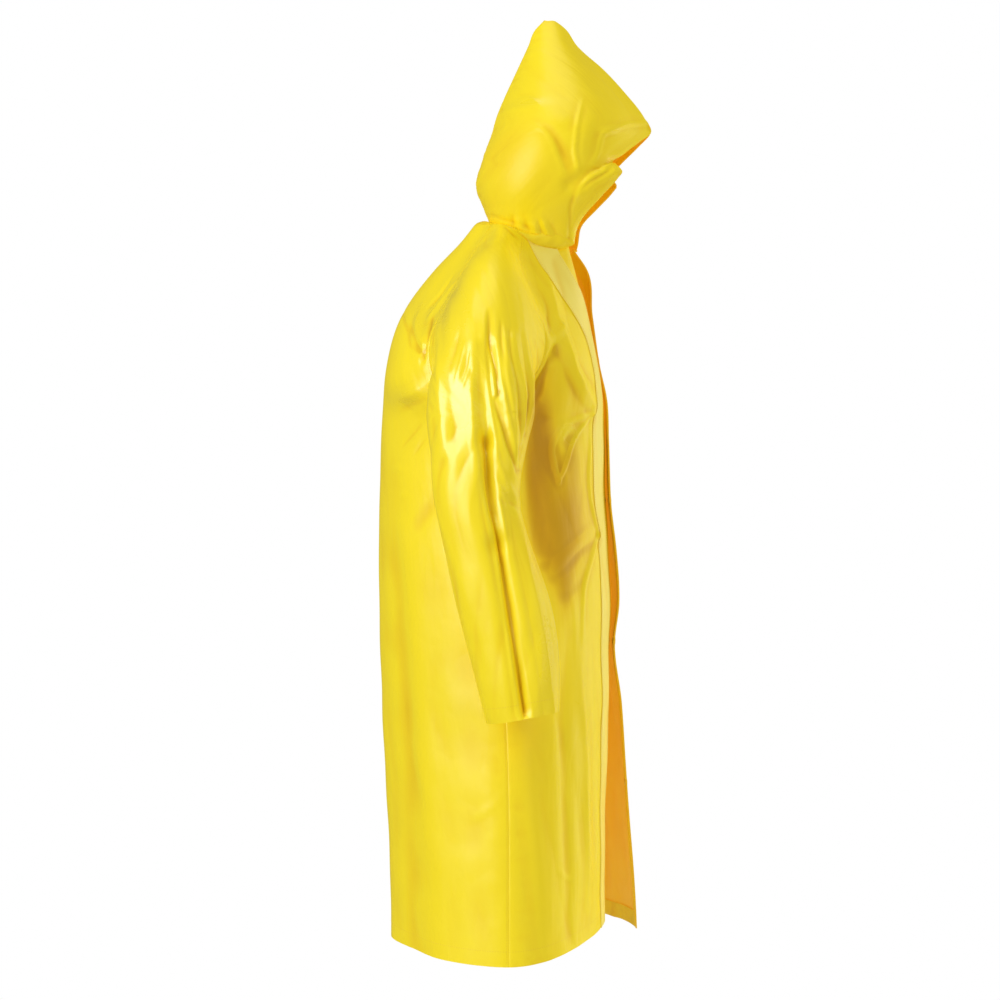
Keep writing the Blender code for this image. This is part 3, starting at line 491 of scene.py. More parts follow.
def bezier(controls, t):
    """Points on chains of cubic curves. controls: (rows, links, 4, 3). t: (rows, columns), 1 to a link."""
    links = controls.shape[1]
    link = np.clip(np.floor(t).astype(int), 0, links - 1)
    t = (t - link)[..., None]
    own = controls[np.arange(len(controls))[:, None], link]
    a, b, c, d = (own[:, :, k] for k in range(4))
    return a * (1 - t) ** 3 + 3 * b * t * (1 - t) ** 2 + 3 * c * t * t * (1 - t) + d * t**3


def at_shares(curve, end, shares):
    """Points at the given shares of each row's length, where curve(t) draws the rows for t from 0 to end."""
    samples = np.linspace(0, end, LENGTH_SAMPLES)
    drawn = curve(np.tile(samples, (len(shares), 1)))
    steps = np.linalg.norm(np.diff(drawn, axis=1), axis=-1)
    run = np.concatenate([np.zeros((len(shares), 1)), np.cumsum(steps, axis=1)], axis=1)
    t = np.stack([np.interp(s * r[-1], r, samples) for s, r in zip(shares, run)])
    return curve(t), run[:, -1]


def arch_at(level):
    """The sleeve's arch: its front and back ends and its top as (out, y, z), and how far it is a ring."""
    high = np.clip(level, 0, 1)
    ends = []
    for place in ("front", "back", "top"):
        ends.append(ARCHES.points(high, f"{place}_out", f"{place}_y", f"{place}_z"))
    return *ends, np.clip(ARCHES.read(high, "closed")[0], 0, 1)


def seam_points(level):
    """The front and the back raglan seam above the underarm, the side seam below it, as (out, y, z)."""
    front, back, _, _ = arch_at(level)
    side_z = mix(UNDERARM_Z, HEM_Z, np.clip(level - 1, 0, 1))
    half_width, side_y, sag = BODY.read(-side_z, "half_width", "side_y", "sag")
    side = np.stack([half_width, side_y, side_z - sag], axis=-1)
    below = (level > 1)[:, None]
    return np.where(below, side, front), np.where(below, side, back)


def arch_ends(level):
    """The directions in which a front row runs into the sleeve, and the sleeve into a back row."""
    front, back, top, closed = arch_at(level)
    chord = (back - front) / 2
    rise = top - (front + back) / 2
    straight_back = np.array([0.0, 1.0, 0.0])
    share = np.sqrt(closed[:, None])
    into, out_of = (mix(unit(chord + way * 2 * rise), straight_back, share) for way in (1, -1))
    return unit(into), unit(out_of)


def mirrored(points, side):
    """Points given as (out, y, z), placed on the wearer's right or left."""
    return points * np.array([side, 1.0, 1.0])


def handle(chord, direction, share):
    """A Bezier handle along a direction, as long as that share of the chord's run in the direction."""
    run = np.sum(chord * direction, axis=-1, keepdims=True)
    least = LEAST_HANDLE * np.linalg.norm(chord, axis=-1, keepdims=True)
    return direction * np.maximum(run * share, least)


def front_rows(side):
    """One front, from its free edge (share 0) to the raglan and side seam (share 1)."""
    edge_table = RIGHT_EDGE if side == RIGHT else LEFT_EDGE
    top, foot = edge_table.rows[0, 0], edge_table.rows[-1, 0]

    def rows(level, shares):
        above, below = np.clip(level, 0, 1), np.clip(level - 1, 0, 1)
        edge_drop = mix(top, -UNDERARM_Z, above) + (foot + UNDERARM_Z) * below
        across, edge_y = edge_table.read(edge_drop, "across", "y")
        edge = np.stack([-across, edge_y, -edge_drop], axis=-1)
        seam, _ = seam_points(level)
        into, _ = arch_ends(level)
        chord = seam - edge
        neck = np.clip(1 - level / NECK_SLOPE_END, 0, 1)[:, None]
        leave = unit(mix(np.array(ACROSS), np.array(NECK_SLOPE), neck**1.5))
        near = edge + handle(chord, leave, FRONT_HANDLE)
        far = seam - handle(chord, into, SIDE_HANDLE)
        controls = np.stack([edge, near, far, seam], axis=1)[:, None]
        points, lengths = at_shares(lambda t: bezier(controls, t), 1, shares)
        return mirrored(points, side), lengths

    return rows


def back_rows(level, shares):
    """The back, from the right seam (share 0) to the left seam (share 1)."""
    _, seam = seam_points(level)
    _, out_of = arch_ends(level)
    middle_drop = mix(-NECK_BACK_Z, -UNDERARM_Z, np.clip(level, 0, 1))
    middle_drop = middle_drop + (UNDERARM_Z - HEM_Z) * np.clip(level - 1, 0, 1)
    high_y = BACK_LINE.read(middle_drop, "y")[0]
    low_y = BODY.read(middle_drop, "back_y")[0]
    middle_y = np.where(level > 1, low_y, high_y)
    middle = np.stack([np.zeros_like(level), middle_y, -middle_drop], axis=-1)
    outward = np.broadcast_to([1.0, 0.0, 0.0], seam.shape)
    near = seam + handle(middle - seam, out_of, SIDE_HANDLE)
    far = middle + handle(seam - middle, outward, BACK_HANDLE)
    half = np.stack([seam, near, far, middle], axis=1)
    controls = np.stack([mirrored(half, RIGHT), mirrored(half[:, ::-1], LEFT)], axis=1)
    return at_shares(lambda t: bezier(controls, t), 2, shares)


def sleeve_rows(side):
    """One sleeve, from the front seam over the top of the arm to the back seam (share 1)."""

    def rows(level, shares):
        below = level > 1
        sizes = RINGS.read(np.clip(level, 1, 2), "inner", "outer", "y", "z", "half_depth", "tip")
        inner, outer, mid_y, z, half_depth, tip = sizes
        ring_in = np.stack([inner, mid_y, z], axis=-1)
        ring_out = np.stack([outer, mid_y, z], axis=-1)
        arch_front, arch_back, arch_top, closed = arch_at(level)
        front = np.where(below[:, None], ring_in, arch_front)
        back = np.where(below[:, None], ring_in, arch_back)
        top = np.where(below[:, None], ring_out, arch_top)
        bulge = ARCHES.read(np.clip(level, 0, 1), "bulge")[0]
        bulge = np.where(below, half_depth, bulge)[:, None, None]
        closed = np.where(below, 1, closed)[:, None, None]
        tip = np.where(below, tip, 0)[:, None]
        middle = ((front + back) / 2)[:, None]
        chord = ((back - front) / 2)[:, None]
        rise = top[:, None] - middle
        ease = np.array([ARMPIT_EASE, 0.0, 0.0]) * closed

        def curve(t):
            t = t[..., None]
            arch = mix(1 - (2 * t - 1) ** 2, np.sin(math.pi * t) ** 2, closed)
            forward = -bulge * np.sin(2 * math.pi * t)
            points = middle + chord * (2 * t - 1) + rise * arch + ease
            points = points + forward * np.array([0.0, 1.0, 0.0])
            points[..., 2] -= forward[..., 0] / np.maximum(bulge[..., 0], MM) * tip / 2
            return points

        points, lengths = at_shares(curve, 1, shares)
        return mirrored(points, side), lengths

    return rows


def hood_rows(side):
    """One half of the hood, from the face edge or crown seam (share 0) round to the back seam (share 1)."""

    def rows(level, shares):
        front = HOOD.points(level, "front_out", "front_y", "front_z")
        if side == LEFT:
            front[:, 1] -= CORNER_JUT * np.exp(-(((level - CORNER_LEVEL) / CORNER_REACH) ** 2))
        widest = HOOD.points(level, "side_out", "side_y", "front_z")
        back = HOOD.points(level, "front_out", "back_y", "back_z")
        back[:, 0] = 0
        widest[:, 2] = mix(front[:, 2], back[:, 2], HOOD_SIDE_RISE)
        pointed = HOOD.read(level, "pointed")[0][:, None]
        outward, along = np.array([1.0, 0.0, 0.0]), np.array([0.0, 1.0, 0.0])
        leave = mix((widest - front)[:, :1] * ROUND_HANDLE * outward, (widest - front) / 3, pointed)
        depth = (widest - front)[:, 1:2] * ROUND_HANDLE * along
        rear = (back - widest)[:, 1:2] * ROUND_HANDLE * along
        home = mix(widest[:, :1] * ROUND_HANDLE * outward, (widest - back) / 3, pointed * 0.5)
        to_side = np.stack([front, front + leave, widest - depth, widest], axis=1)
        to_back = np.stack([widest, widest + rear, back + home, back], axis=1)
        controls = np.stack([to_side, to_back], axis=1)
        points, lengths = at_shares(lambda t: bezier(controls, t), 2, shares)
        return mirrored(points, side), lengths

    return rows


def formed(points, normals, form, side):
    """Moves points in or out where one of the form's large folds passes, on the side that faces away."""
    facing = np.clip(normals[..., 0] * side, 0, 1)
    for y0, z0, y1, z1, width, depth in form:
        start = np.array([y0, z0])
        run = np.array([y1, z1]) - start
        offset = points[..., 1:] - start
        along = np.clip((offset @ run) / (run @ run), 0, 1)
        distance = np.linalg.norm(offset - along[..., None] * run, axis=-1)
        points = points + normals * (depth * np.exp(-((distance / width) ** 2)) * facing)[..., None]
    return points


ROUTE_SAMPLES = 8
BLUNT = 0.08
FLANK = 1.9
FOOT_ROUND = 0.07
CREASE_REACH = 4.5  # widths
CREASE_END = 1.5  # widths
LEAN_NEAR = 0.25  # widths
UNEVEN_SHIFT = 0.006
UNEVEN_DEPTH = (0.7, 1.15)


class Crease:
    """One fold or crease on its route, read as a height at places in the same two measures."""

    def __init__(self, route, width, depth, lean, start, end, sharp):
        places = np.array([[float(value) for value in place.split()] for place in route.split(",")])
        self.line = self.rounded(places / 1000)
        self.width, self.depth = width / 1000, depth / 1000
        self.lean, self.start, self.end, self.sharp = lean, start, end, sharp

    @staticmethod
    def rounded(places):
        """A smooth curve through the places."""
        slopes = np.gradient(places, axis=0)
        at = np.linspace(0, len(places) - 1, ROUTE_SAMPLES * (len(places) - 1) + 1)
        left = np.clip(at.astype(int), 0, len(places) - 2)
        ends = places[left], places[left + 1], slopes[left], slopes[left + 1]
        return smooth(*ends, (at - left)[:, None])

    def moved(self, shift, depth):
        """The same crease, shifted at its two ends and made deeper or flatter."""
        other = copy.copy(self)
        other.line = self.line + mix(shift[0], shift[1], np.linspace(0, 1, len(self.line))[:, None])
        other.depth = self.depth * depth
        return other

    def height(self, u, v):
        total = np.zeros(u.shape)
        reach = CREASE_REACH * self.width
        low, high = self.line.min(axis=0) - reach, self.line.max(axis=0) + reach
        near = (u > low[0]) & (u < high[0]) & (v > low[1]) & (v < high[1])
        if not near.any():
            return total
        place = np.stack([u[near], v[near]], axis=-1)
        best = np.full(len(place), 1e9)
        along, aside = np.zeros(len(place)), np.zeros(len(place))
        steps = np.diff(self.line, axis=0)
        lengths = np.linalg.norm(steps, axis=1)
        run = np.concatenate([[0], np.cumsum(lengths)])
        past = np.zeros(len(place))
        for k, (start, step, length) in enumerate(zip(self.line, steps, lengths)):
            off = place - start
            t = (off @ step) / length**2
            held = np.clip(t, 0, 1)
            away = np.hypot(off[:, 0] - held * step[0], off[:, 1] - held * step[1])
            closer = away < best
            cross = (step[0] * off[:, 1] - step[1] * off[:, 0]) / length
            best = np.where(closer, away, best)
            along = np.where(closer, run[k] + held * length, along)
            beyond = np.maximum(-t, 0) * length if k == 0 else 0
            beyond = np.maximum(t - 1, 0) * length if k == len(steps) - 1 else beyond
            aside = np.where(closer, np.where(beyond > 0, cross, np.sign(cross) * away), aside)
            past = np.where(closer, beyond, past)
        t = along / run[-1]
        side = aside / (np.abs(aside) + LEAN_NEAR * self.width)
        width = self.width * (1 + self.lean * side)
        away = np.abs(aside)
        if self.sharp:
            blunt = BLUNT * self.width
            left = 1 - (np.sqrt(away**2 + blunt**2) - blunt) / (FLANK * width)
            swell = (left + np.sqrt(left**2 + FOOT_ROUND**2)) / 2
        else:
            swell = np.exp(-((away / width) ** 2))
        mean = (self.start + self.end) / 2
        strength = (1 - t) * self.start + t * self.end + 4 * t * (1 - t) * (1 - mean)
        total[near] = self.depth * swell * strength * np.exp(-((past / (CREASE_END * self.width)) ** 2))
        return total


def creases_of(rows):
    return [Crease(*row) for row in rows]


def waves(seed, across, down, size, lengths, count=7):
    """A slow, uneven rise and fall of the cloth, the same on each run."""
    chance = np.random.default_rng(seed)
    total = 0
    for _ in range(count):
        turn = chance.uniform(0, math.pi)
        pitch = chance.uniform(*lengths)
        phase = chance.uniform(0, 2 * math.pi)
        along = across * math.cos(turn) + down * math.sin(turn)
        total = total + np.sin(along * 2 * math.pi / pitch + phase)
    return total * size / math.sqrt(count)


LINE_TURN = 0.45
LINE_WANDER = (0.5, 0.31)  # how far a line wanders, and over what length
LINE_FADE = (0.23, 0.17)  # how far apart the stronger places lie, down and across


def folded_lines(seed, across, down, size, pitches, count=5):
    """Faint folds that come to a line, mostly down the cloth, and stronger in some places than in others."""
    chance = np.random.default_rng(seed)
    total = 0
    for _ in range(count):
        turn = chance.uniform(-LINE_TURN, LINE_TURN)
        pitch = chance.uniform(*pitches)
        phase, bend, fade = chance.uniform(0, 2 * math.pi, 3)
        aside = across * math.cos(turn) - down * math.sin(turn)
        wander = LINE_WANDER[0] * np.sin(down * 2 * math.pi / LINE_WANDER[1] + bend)
        place = down * 2 * math.pi / LINE_FADE[0] + across * 2 * math.pi / LINE_FADE[1]
        strength = 0.5 + 0.5 * np.sin(place + fade)
        fold = np.abs(np.sin(aside * math.pi / pitch + phase + wander)) - 2 / math.pi
        total = total + fold * strength * chance.choice([-1, 1])
    return total * size


def uneven(rows, seed):
    """The same creases as they fall on the other side of the coat: shifted, and deeper or flatter."""
    chance = np.random.default_rng(seed)
    moved = []
    for crease in creases_of(rows):
        shift = chance.uniform(-UNEVEN_SHIFT, UNEVEN_SHIFT, (2, 2))
        moved.append(crease.moved(shift, chance.uniform(*UNEVEN_DEPTH)))
    return moved


def on_side(side, rows, seed):
    """The creases as they are listed on the right side, and uneven on the left."""
    return creases_of(rows) if side == RIGHT else uneven(rows, seed)


def opposite(rows, seed, width):
    """The creases of the back's right half as they fall on its left half. across starts at the right."""
    creases = uneven(rows, seed)
    for crease in creases:
        crease.line = crease.line * np.array([-1, 1]) + np.array([width, 0])
        crease.lean = -crease.lean
    return creases


def run_along(line):
    """How far along a line each of its points lies."""
    return np.concatenate([[0], np.cumsum(np.linalg.norm(np.diff(line, axis=0), axis=-1))])


class Cloth:
    """A piece's surface, read at levels and at shares of its rows.

    seams tells which edges are sewn to a neighbour, and so keep their place: the rows' "start" and "end", and
    the piece's "top".
    """

    def __init__(self, rows, turn, side, seams, seed, lines,
                 form=(), side_creases=(), cut_creases=(), end=COAT_END):
        self.rows, self.turn, self.side, self.seams = rows, turn, side, seams.split()
        self.seed, self.lines, self.form, self.end = seed, lines, form, end
        self.side_creases, self.cut_creases = side_creases, cut_creases
        self.known_levels = np.linspace(0, end, DOWN_SAMPLES)
        middle = rows(self.known_levels, np.full((DOWN_SAMPLES, 1), 0.5))[0][:, 0]
        self.known_runs = run_along(middle)
        self.long = self.known_runs[-1]

    def down(self, levels):
        return np.interp(levels, self.known_levels, self.known_runs)

    def level(self, downs):
        return np.interp(downs, self.known_runs, self.known_levels)

    def length(self, levels):
        levels = np.atleast_1d(np.asarray(levels, float))
        return self.rows(levels, np.zeros((len(levels), 1)))[1]

    def eased_rows(self, levels, shares):
        """The rows, drawn smooth down the cloth away from its sewn edges."""
        plain = self.rows(levels, shares)[0]
        down = self.down(levels)
        total, weight = plain.copy(), 1.0
        for step in EASE_STEPS:
            for way in (-1, 1):
                at = down + way * step
                back = np.where(at < 0, -at, np.where(at > self.long, 2 * self.long - at, at))
                past = (back != at)[:, None, None]
                points = self.rows(self.level(back), shares)[0]
                if past.any():
                    ends = self.rows(self.level(np.clip(at, 0, self.long)), shares)[0]
                    points = np.where(past, 2 * ends - points, points)
                share = math.exp(-((step / EASE_REACH) ** 2))
                total += share * points
                weight += share
        length = self.length(levels)[:, None]
        free = 1.0
        for away in (shares * length, (1 - shares) * length):
            free = free * eased(away, 0.0, SEAM_HOLD)
        return mix(plain, total / weight, np.broadcast_to(free, shares.shape)[..., None])

    def normals_on(self, drawn, levels, shares):
        """The outward normals of the surface that drawn gives for levels and shares."""
        before, after = (drawn(levels, np.clip(shares + k, 0, 1)) for k in (-NORMAL_STEP, NORMAL_STEP))
        over, under = (drawn(np.clip(levels + k, 0, self.end), shares) for k in (-NORMAL_STEP, NORMAL_STEP))
        return unit(np.cross(after - before, under - over)) * self.turn

    def bare(self, levels, shares):
        """The form without creases, and its outward normals."""
        points = self.eased_rows(levels, shares)
        normals = self.normals_on(lambda *at: self.rows(*at)[0], levels, shares)
        return formed(points, normals, self.form, self.side), normals

    def height(self, across, down, length, points, normals):
        """How far the creases, the unevenness and the laps at the seams move the cloth out."""
        total = waves(self.seed, across, down, ROLL, ROLL_LENGTHS)
        size, *pitches = self.lines
        facing = 0.4 + 0.6 * eased(np.abs(normals[..., 0]), 0.0, SIDEWAYS)
        total = total + folded_lines(self.seed + 20, across, down, size, pitches) * facing
        for crease in self.cut_creases:
            total = total + crease.height(across, down)
        if self.side_creases:
            faces_out = eased(normals[..., 0] * self.side, 0.0, SIDEWAYS)
            for crease in self.side_creases:
                total = total + crease.height(points[..., 1], points[..., 2]) * faces_out
        for name, away in (("start", across), ("end", length - across), ("top", down)):
            if name in self.seams:
                total = total * eased(away, 0.0, SEAM_CALM)
                along = across if name == "top" else down
                pucker = waves(self.seed + len(name), along, along * 0, PUCKER, PUCKER_LENGTHS, 5)
                total = total + pucker * (away / PUCKER_REACH) * np.exp(1 - away / PUCKER_REACH)
                total = total - SEAM_SINK * np.exp(-((away / SEAM_ROUND) ** 2))
        return total

    def placed(self, levels, shares):
        """Points on the creased cloth, and how far the creases have moved them."""
        levels = np.asarray(levels, float)
        length = self.length(levels)[:, None]
        across = shares * length
        down = np.broadcast_to(self.down(levels)[:, None], across.shape)
        points, normals = self.bare(levels, shares)
        height = self.height(across, down, length, points, normals)
        return points + normals * height[..., None], height

    def spread_out(self, levels, shares):
        """What laid_out gives, with the normals taken from the grid's own cells."""
        points, height = self.placed(levels, shares)
        over, across = np.gradient(points, axis=0), np.gradient(points, axis=1)
        return points, unit(np.cross(across, over)) * self.turn, height

    def laid_out(self, levels, shares):
        """Points and outward normals on the grid of levels and shares, and the creases' heights."""
        levels = np.asarray(levels, float)
        points, height = self.placed(levels, shares)
        return points, self.normals_on(lambda *at: self.placed(*at)[0], levels, shares), height


BACK_WIDTH = 0.60  # where its creases are repeated
REPEATED = 13  # how many rows of BACK_CREASES the back's left half has too
# How high the faint folds are, and their least and greatest distance.
SLEEVE_LINES = (0.0011, 0.034, 0.072)
FRONT_LINES = (0.0009, 0.050, 0.110)
BACK_LINES = (0.0005, 0.08, 0.20)
HOOD_LINES = (0.0008, 0.060, 0.120)
FRONT = {
    side: Cloth(front_rows(side), -side, side, "end top", seed, FRONT_LINES,
                cut_creases=on_side(side, FRONT_CREASES, 4))
    for side, seed in ((RIGHT, 3), (LEFT, 4))
}
BACK = Cloth(back_rows, 1, RIGHT, "start end top", 5, BACK_LINES,
             cut_creases=creases_of(BACK_CREASES) + opposite(BACK_CREASES[:REPEATED], 5, BACK_WIDTH))
SLEEVE = {
    side: Cloth(sleeve_rows(side), -side, side, "start end top", seed, SLEEVE_LINES, SLEEVE_FORM,
                on_side(side, SLEEVE_CREASES, 7), on_side(side, SLEEVE_INNER_CREASES, 8))
    for side, seed in ((RIGHT, 6), (LEFT, 7))
}
HOOD_HALF = {
    side: Cloth(hood_rows(side), side, side, "end", seed, HOOD_LINES, HOOD_FORM,
                on_side(side, HOOD_CREASES, 9), end=HOOD_END)
    for side, seed in ((RIGHT, 8), (LEFT, 9))
}


# Meshes ------------------------------

def mesh_piece(name, points, quads, finishes, kinds=None, marks=None, triangles=None):
    """A smooth mesh from points and faces. kinds tells each face's finish, marks are named point values."""
    sides = [np.asarray(quads, np.int32).reshape(-1, 4)]
    if triangles is not None:
        sides.append(np.asarray(triangles, np.int32).reshape(-1, 3))
    mesh = bpy.data.meshes.new(name)
    mesh.vertices.add(len(points))
    mesh.vertices.foreach_set("co", np.asarray(points, np.float32).ravel())
    corners = np.concatenate([faces.ravel() for faces in sides])
    counts = np.concatenate([np.full(len(faces), faces.shape[1], np.int32) for faces in sides])
    mesh.loops.add(len(corners))
    mesh.loops.foreach_set("vertex_index", corners)
    mesh.polygons.add(len(counts))
    mesh.polygons.foreach_set("loop_start", np.concatenate([[0], np.cumsum(counts)[:-1]]).astype(np.int32))
    mesh.polygons.foreach_set("loop_total", counts)
    if kinds is not None:
        mesh.polygons.foreach_set("material_index", np.asarray(kinds, np.int32))
    mesh.update(calc_edges=True)
    mesh.validate()
    mesh.shade_smooth()
    mesh.set_sharp_from_angle(angle=math.radians(SHARP_ANGLE))
    for finish in finishes:
        mesh.materials.append(finish)
    for label, values in (marks or {}).items():
        values = np.asarray(values, np.float32)
        kind = "FLOAT_VECTOR" if values.ndim == 2 else "FLOAT"
        layer = mesh.attributes.new(label, kind, "POINT")
        layer.data.foreach_set("vector" if values.ndim == 2 else "value", values.ravel())
    piece = bpy.data.objects.new(name, mesh)
    bpy.context.scene.collection.objects.link(piece)
    return piece


def settled(piece, slot, *nodes):
    """Fastens a finished piece to the coat and lets it stand for its solids, which it hides. slot is not
    used.
    """
    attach(piece, "root")
    if nodes:
        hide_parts(*nodes)
    return piece


def cell_quads(row_count, column_count, turn):
    corner = (np.arange(row_count - 1)[:, None] * column_count + np.arange(column_count - 1)).ravel()
    quads = np.stack([corner, corner + 1, corner + column_count + 1, corner + column_count], axis=-1)
    return quads if turn > 0 else quads[:, ::-1]


def rim_of(row_count, column_count):
    place = np.arange(row_count * column_count).reshape(row_count, column_count)
    return np.concatenate([place[0], place[1:, -1], place[-1, -2::-1], place[-2:0:-1, 0]])


def spots(table, points):
    """How much of a table's spots there is at the points, from -1 to 1."""
    total = np.zeros(points.shape[:-1])
    for y, z, reach_y, reach_z, amount in table.rows:
        away = ((points[..., 1] - y) / reach_y) ** 2 + ((points[..., 2] - z) / reach_z) ** 2
        total += amount * np.exp(-away)
    return np.clip(total, -1, 1)


def wall(name, sheet, finishes, thickness=THICKNESS):
    """A thin wall on a sheet's grid, with the second finish on its inner faces and the first elsewhere."""
    points, normals = sheet["points"], sheet["normals"]
    rows, columns = points.shape[:2]
    turn = sheet["turn"]
    half = normals * thickness / 2
    outer, inner = (points + half).reshape(-1, 3), (points - half).reshape(-1, 3)
    faces = cell_quads(rows, columns, turn)
    rim = rim_of(rows, columns)
    after = np.roll(rim, -1)
    count = rows * columns
    border = np.stack([after, rim, rim + count, after + count], axis=-1)
    if turn < 0:
        border = border[:, ::-1]
    quads = np.concatenate([faces, faces[:, ::-1] + count, border])
    kinds = np.concatenate([np.zeros(len(faces)), np.ones(len(faces)), np.zeros(len(border))])
    marks = {
        "cut": np.tile(sheet["cut"].reshape(-1, 3), (2, 1)),
        # fall and shade are what the film reads to paint shade into its colour, in troughs and in the painted
        # shade spots
        "fall": np.tile(sheet["height"].ravel(), 2),
        "shine": np.tile(spots(SHINE, points).ravel(), 2),
        "shade": np.tile(spots(PAINTED_SHADE, points).ravel(), 2),
    }
    return mesh_piece(name, np.concatenate([outer, inner]), quads, finishes, kinds, marks)


def grid_area(points):
    """The area of one side of a grid of points."""
    side = points[:-1, 1:] - points[:-1, :-1]
    down = points[1:, :-1] - points[:-1, :-1]
    return float(np.linalg.norm(np.cross(side, down), axis=-1).sum())


def sheet_of(cloth, levels, distances, lift=0.0, whole=False):
    """A cloth's surface at the levels and at distances from the rows' starts, with what the finishes read."""
    levels = np.asarray(levels, float)
    length = cloth.length(levels)[:, None]
    distances = np.broadcast_to(distances, (len(levels), np.shape(distances)[-1]))
    points, normals, height = (cloth.spread_out if whole else cloth.laid_out)(levels, distances / length)
    down = np.broadcast_to(cloth.down(levels)[:, None], distances.shape)
    cut = np.stack([distances, down, 0 * down], axis=-1)
    return {
        "points": points + normals * np.asarray(lift)[..., None],
        "normals": normals,
        "cut": cut,
        "height": hollowness(height),
        "turn": cloth.turn,
    }


def hollowness(height):
    """How far each point stands out from the cloth around it."""
    around = height
    wide = 2 * HOLLOW_REACH + 1
    for axis in (0, 1):
        size = height.shape[axis]
        if size > wide:
            ends = [(0, 0), (0, 0)]
            ends[axis] = (HOLLOW_REACH + 1, HOLLOW_REACH)
            run = np.cumsum(np.pad(around, ends, mode="edge"), axis=axis)
            ahead = np.take(run, np.arange(wide, wide + size), axis=axis)
            behind = np.take(run, np.arange(size), axis=axis)
            around = (ahead - behind) / wide
    return height - around


def closer_at(cells, focuses):
    """Shares from 0 to 1, one cell apart, and closer together about each focus (centre, width, gain)."""
    fine = np.linspace(0, 1, 501)
    closeness = np.ones_like(fine)
    for centre, width, gain in focuses:
        closeness += gain * np.exp(-(((fine - centre) / width) ** 2))
    run = np.cumsum(closeness)
    return np.interp(np.linspace(0, 1, cells + 1), (run - run[0]) / (run[-1] - run[0]), fine)


EVENLY = ()


def spread(cloth, levels, cells, start=SEAM_GAP, end=SEAM_GAP, focus=EVENLY):
    """Distances along each row that stop short of both ends."""
    length = cloth.length(levels)[:, None]
    return start + (length - start - end) * closer_at(cells, focus)


def even_levels(cloth, cells, first=0.0, last=None, focus=EVENLY):
    """Levels that lie evenly down the cloth, or closer together about the focus."""
    low, high = cloth.down(first), cloth.down(cloth.end if last is None else last)
    return cloth.level(mix(low, high, closer_at(cells, focus)))


def with_lap(sheet, at_end, widths):
    """Carries a sheet's rows on past one end, under the neighbour, by each row's width."""
    points, normals = sheet["points"], sheet["normals"]
    pick, inside = (-1, -3) if at_end else (0, 2)
    away = unit(points[:, pick] - points[:, inside])
    bend = unit(normals[:, pick] + (normals[:, pick] - normals[:, inside]) * LAP_BEND)
    added = []
    for share in LAP_SHARES:
        sink = LAP_SINK * eased(np.array(share), -0.1, 0.3) * np.minimum(widths / LAP, 1)
        added.append(points[:, pick] + away * (widths * share)[:, None] - bend * sink[:, None])
    grown = dict(sheet)
    for key in ("points", "normals", "cut", "height"):
        own = sheet[key]
        extra = np.stack(added, axis=1) if key == "points" else np.repeat(own[:, [pick]], len(added), axis=1)
        grown[key] = np.concatenate((own, extra) if at_end else (extra[:, ::-1], own), axis=1)
    return grown


def longest(cloth, levels):
    return float(cloth.length(levels).max())


# Finishes ------------------------------

class Signal:
    """A shader socket that takes part in sums."""

    def __init__(self, finish, socket):
        self.finish, self.socket = finish, socket

    def maths(self, operation, *values):
        inputs = dict(enumerate(values))
        return self.finish.node("ShaderNodeMath", {"operation": operation}, inputs)

    def __add__(self, other):
        return self.maths("ADD", self, other)

    def __radd__(self, other):
        return self.maths("ADD", other, self)

    def __sub__(self, other):
        return self.maths("SUBTRACT", self, other)

    def __rsub__(self, other):
        return self.maths("SUBTRACT", other, self)

    def __mul__(self, other):
        return self.maths("MULTIPLY", self, other)

    def __rmul__(self, other):
        return self.maths("MULTIPLY", other, self)

    def sine(self):
        return self.maths("SINE", self)

    def folded(self):
        """A noise turned about its middle, so that it comes to creases there."""
        return self.maths("ABSOLUTE", self - 0.5)

    def held(self, low=0.0, high=1.0):
        return self.finish.node("ShaderNodeClamp", {}, {"Value": self, "Min": low, "Max": high})


class Nodes:
    """A tree of nodes, each made by type, settings and inputs."""

    def __init__(self, owner):
        owner.use_nodes = True
        self.tree = owner.node_tree

    def node(self, kind, settings, inputs, outlet=0):
        made = self.tree.nodes.new(kind)
        for key, value in settings.items():
            setattr(made, key, value)
        for key, value in inputs.items():
            self.feed(made.inputs[key], value)
        return Signal(self, made.outputs[outlet])

    def feed(self, socket, value):
        if isinstance(value, Signal):
            self.tree.links.new(value.socket, socket)
        else:
            socket.default_value = value

    def blend(self, share, low, high):
        low, high = ((*colour, 1) if isinstance(colour, tuple) else colour for colour in (low, high))
        return self.node("ShaderNodeMix", {"data_type": "RGBA"}, {0: share, 6: low, 7: high}, 2)


class Finish(Nodes):
    """A material on the Principled shader."""

    def __init__(self, name, colour, roughness, **fixed):
        self.material = bpy.data.materials.new(name)
        super().__init__(self.material)
        self.shader = self.tree.nodes["Principled BSDF"]
        self.wear(**{"Base Color": (*colour, 1), "Roughness": roughness, **fixed})

    def wear(self, **inputs):
        for key, value in inputs.items():
            self.feed(self.shader.inputs[key], value)

    def mark(self, label, outlet="Fac"):
        return self.node("ShaderNodeAttribute", {"attribute_name": label}, {}, outlet)

    def noise(self, vector, scale, detail=3.0, roughness=0.5):
        inputs = {"Vector": vector, "Scale": scale, "Detail": detail, "Roughness": roughness}
        return self.node("ShaderNodeTexNoise", {}, inputs)

    def parts_of(self, vector):
        split = self.node("ShaderNodeSeparateXYZ", {}, {"Vector": vector})
        return split, Signal(self, split.socket.node.outputs[1])

    def relief(self, height, strength, distance):
        inputs = {"Height": height, "Strength": strength, "Distance": distance}
        self.wear(Normal=self.node("ShaderNodeBump", {}, inputs))


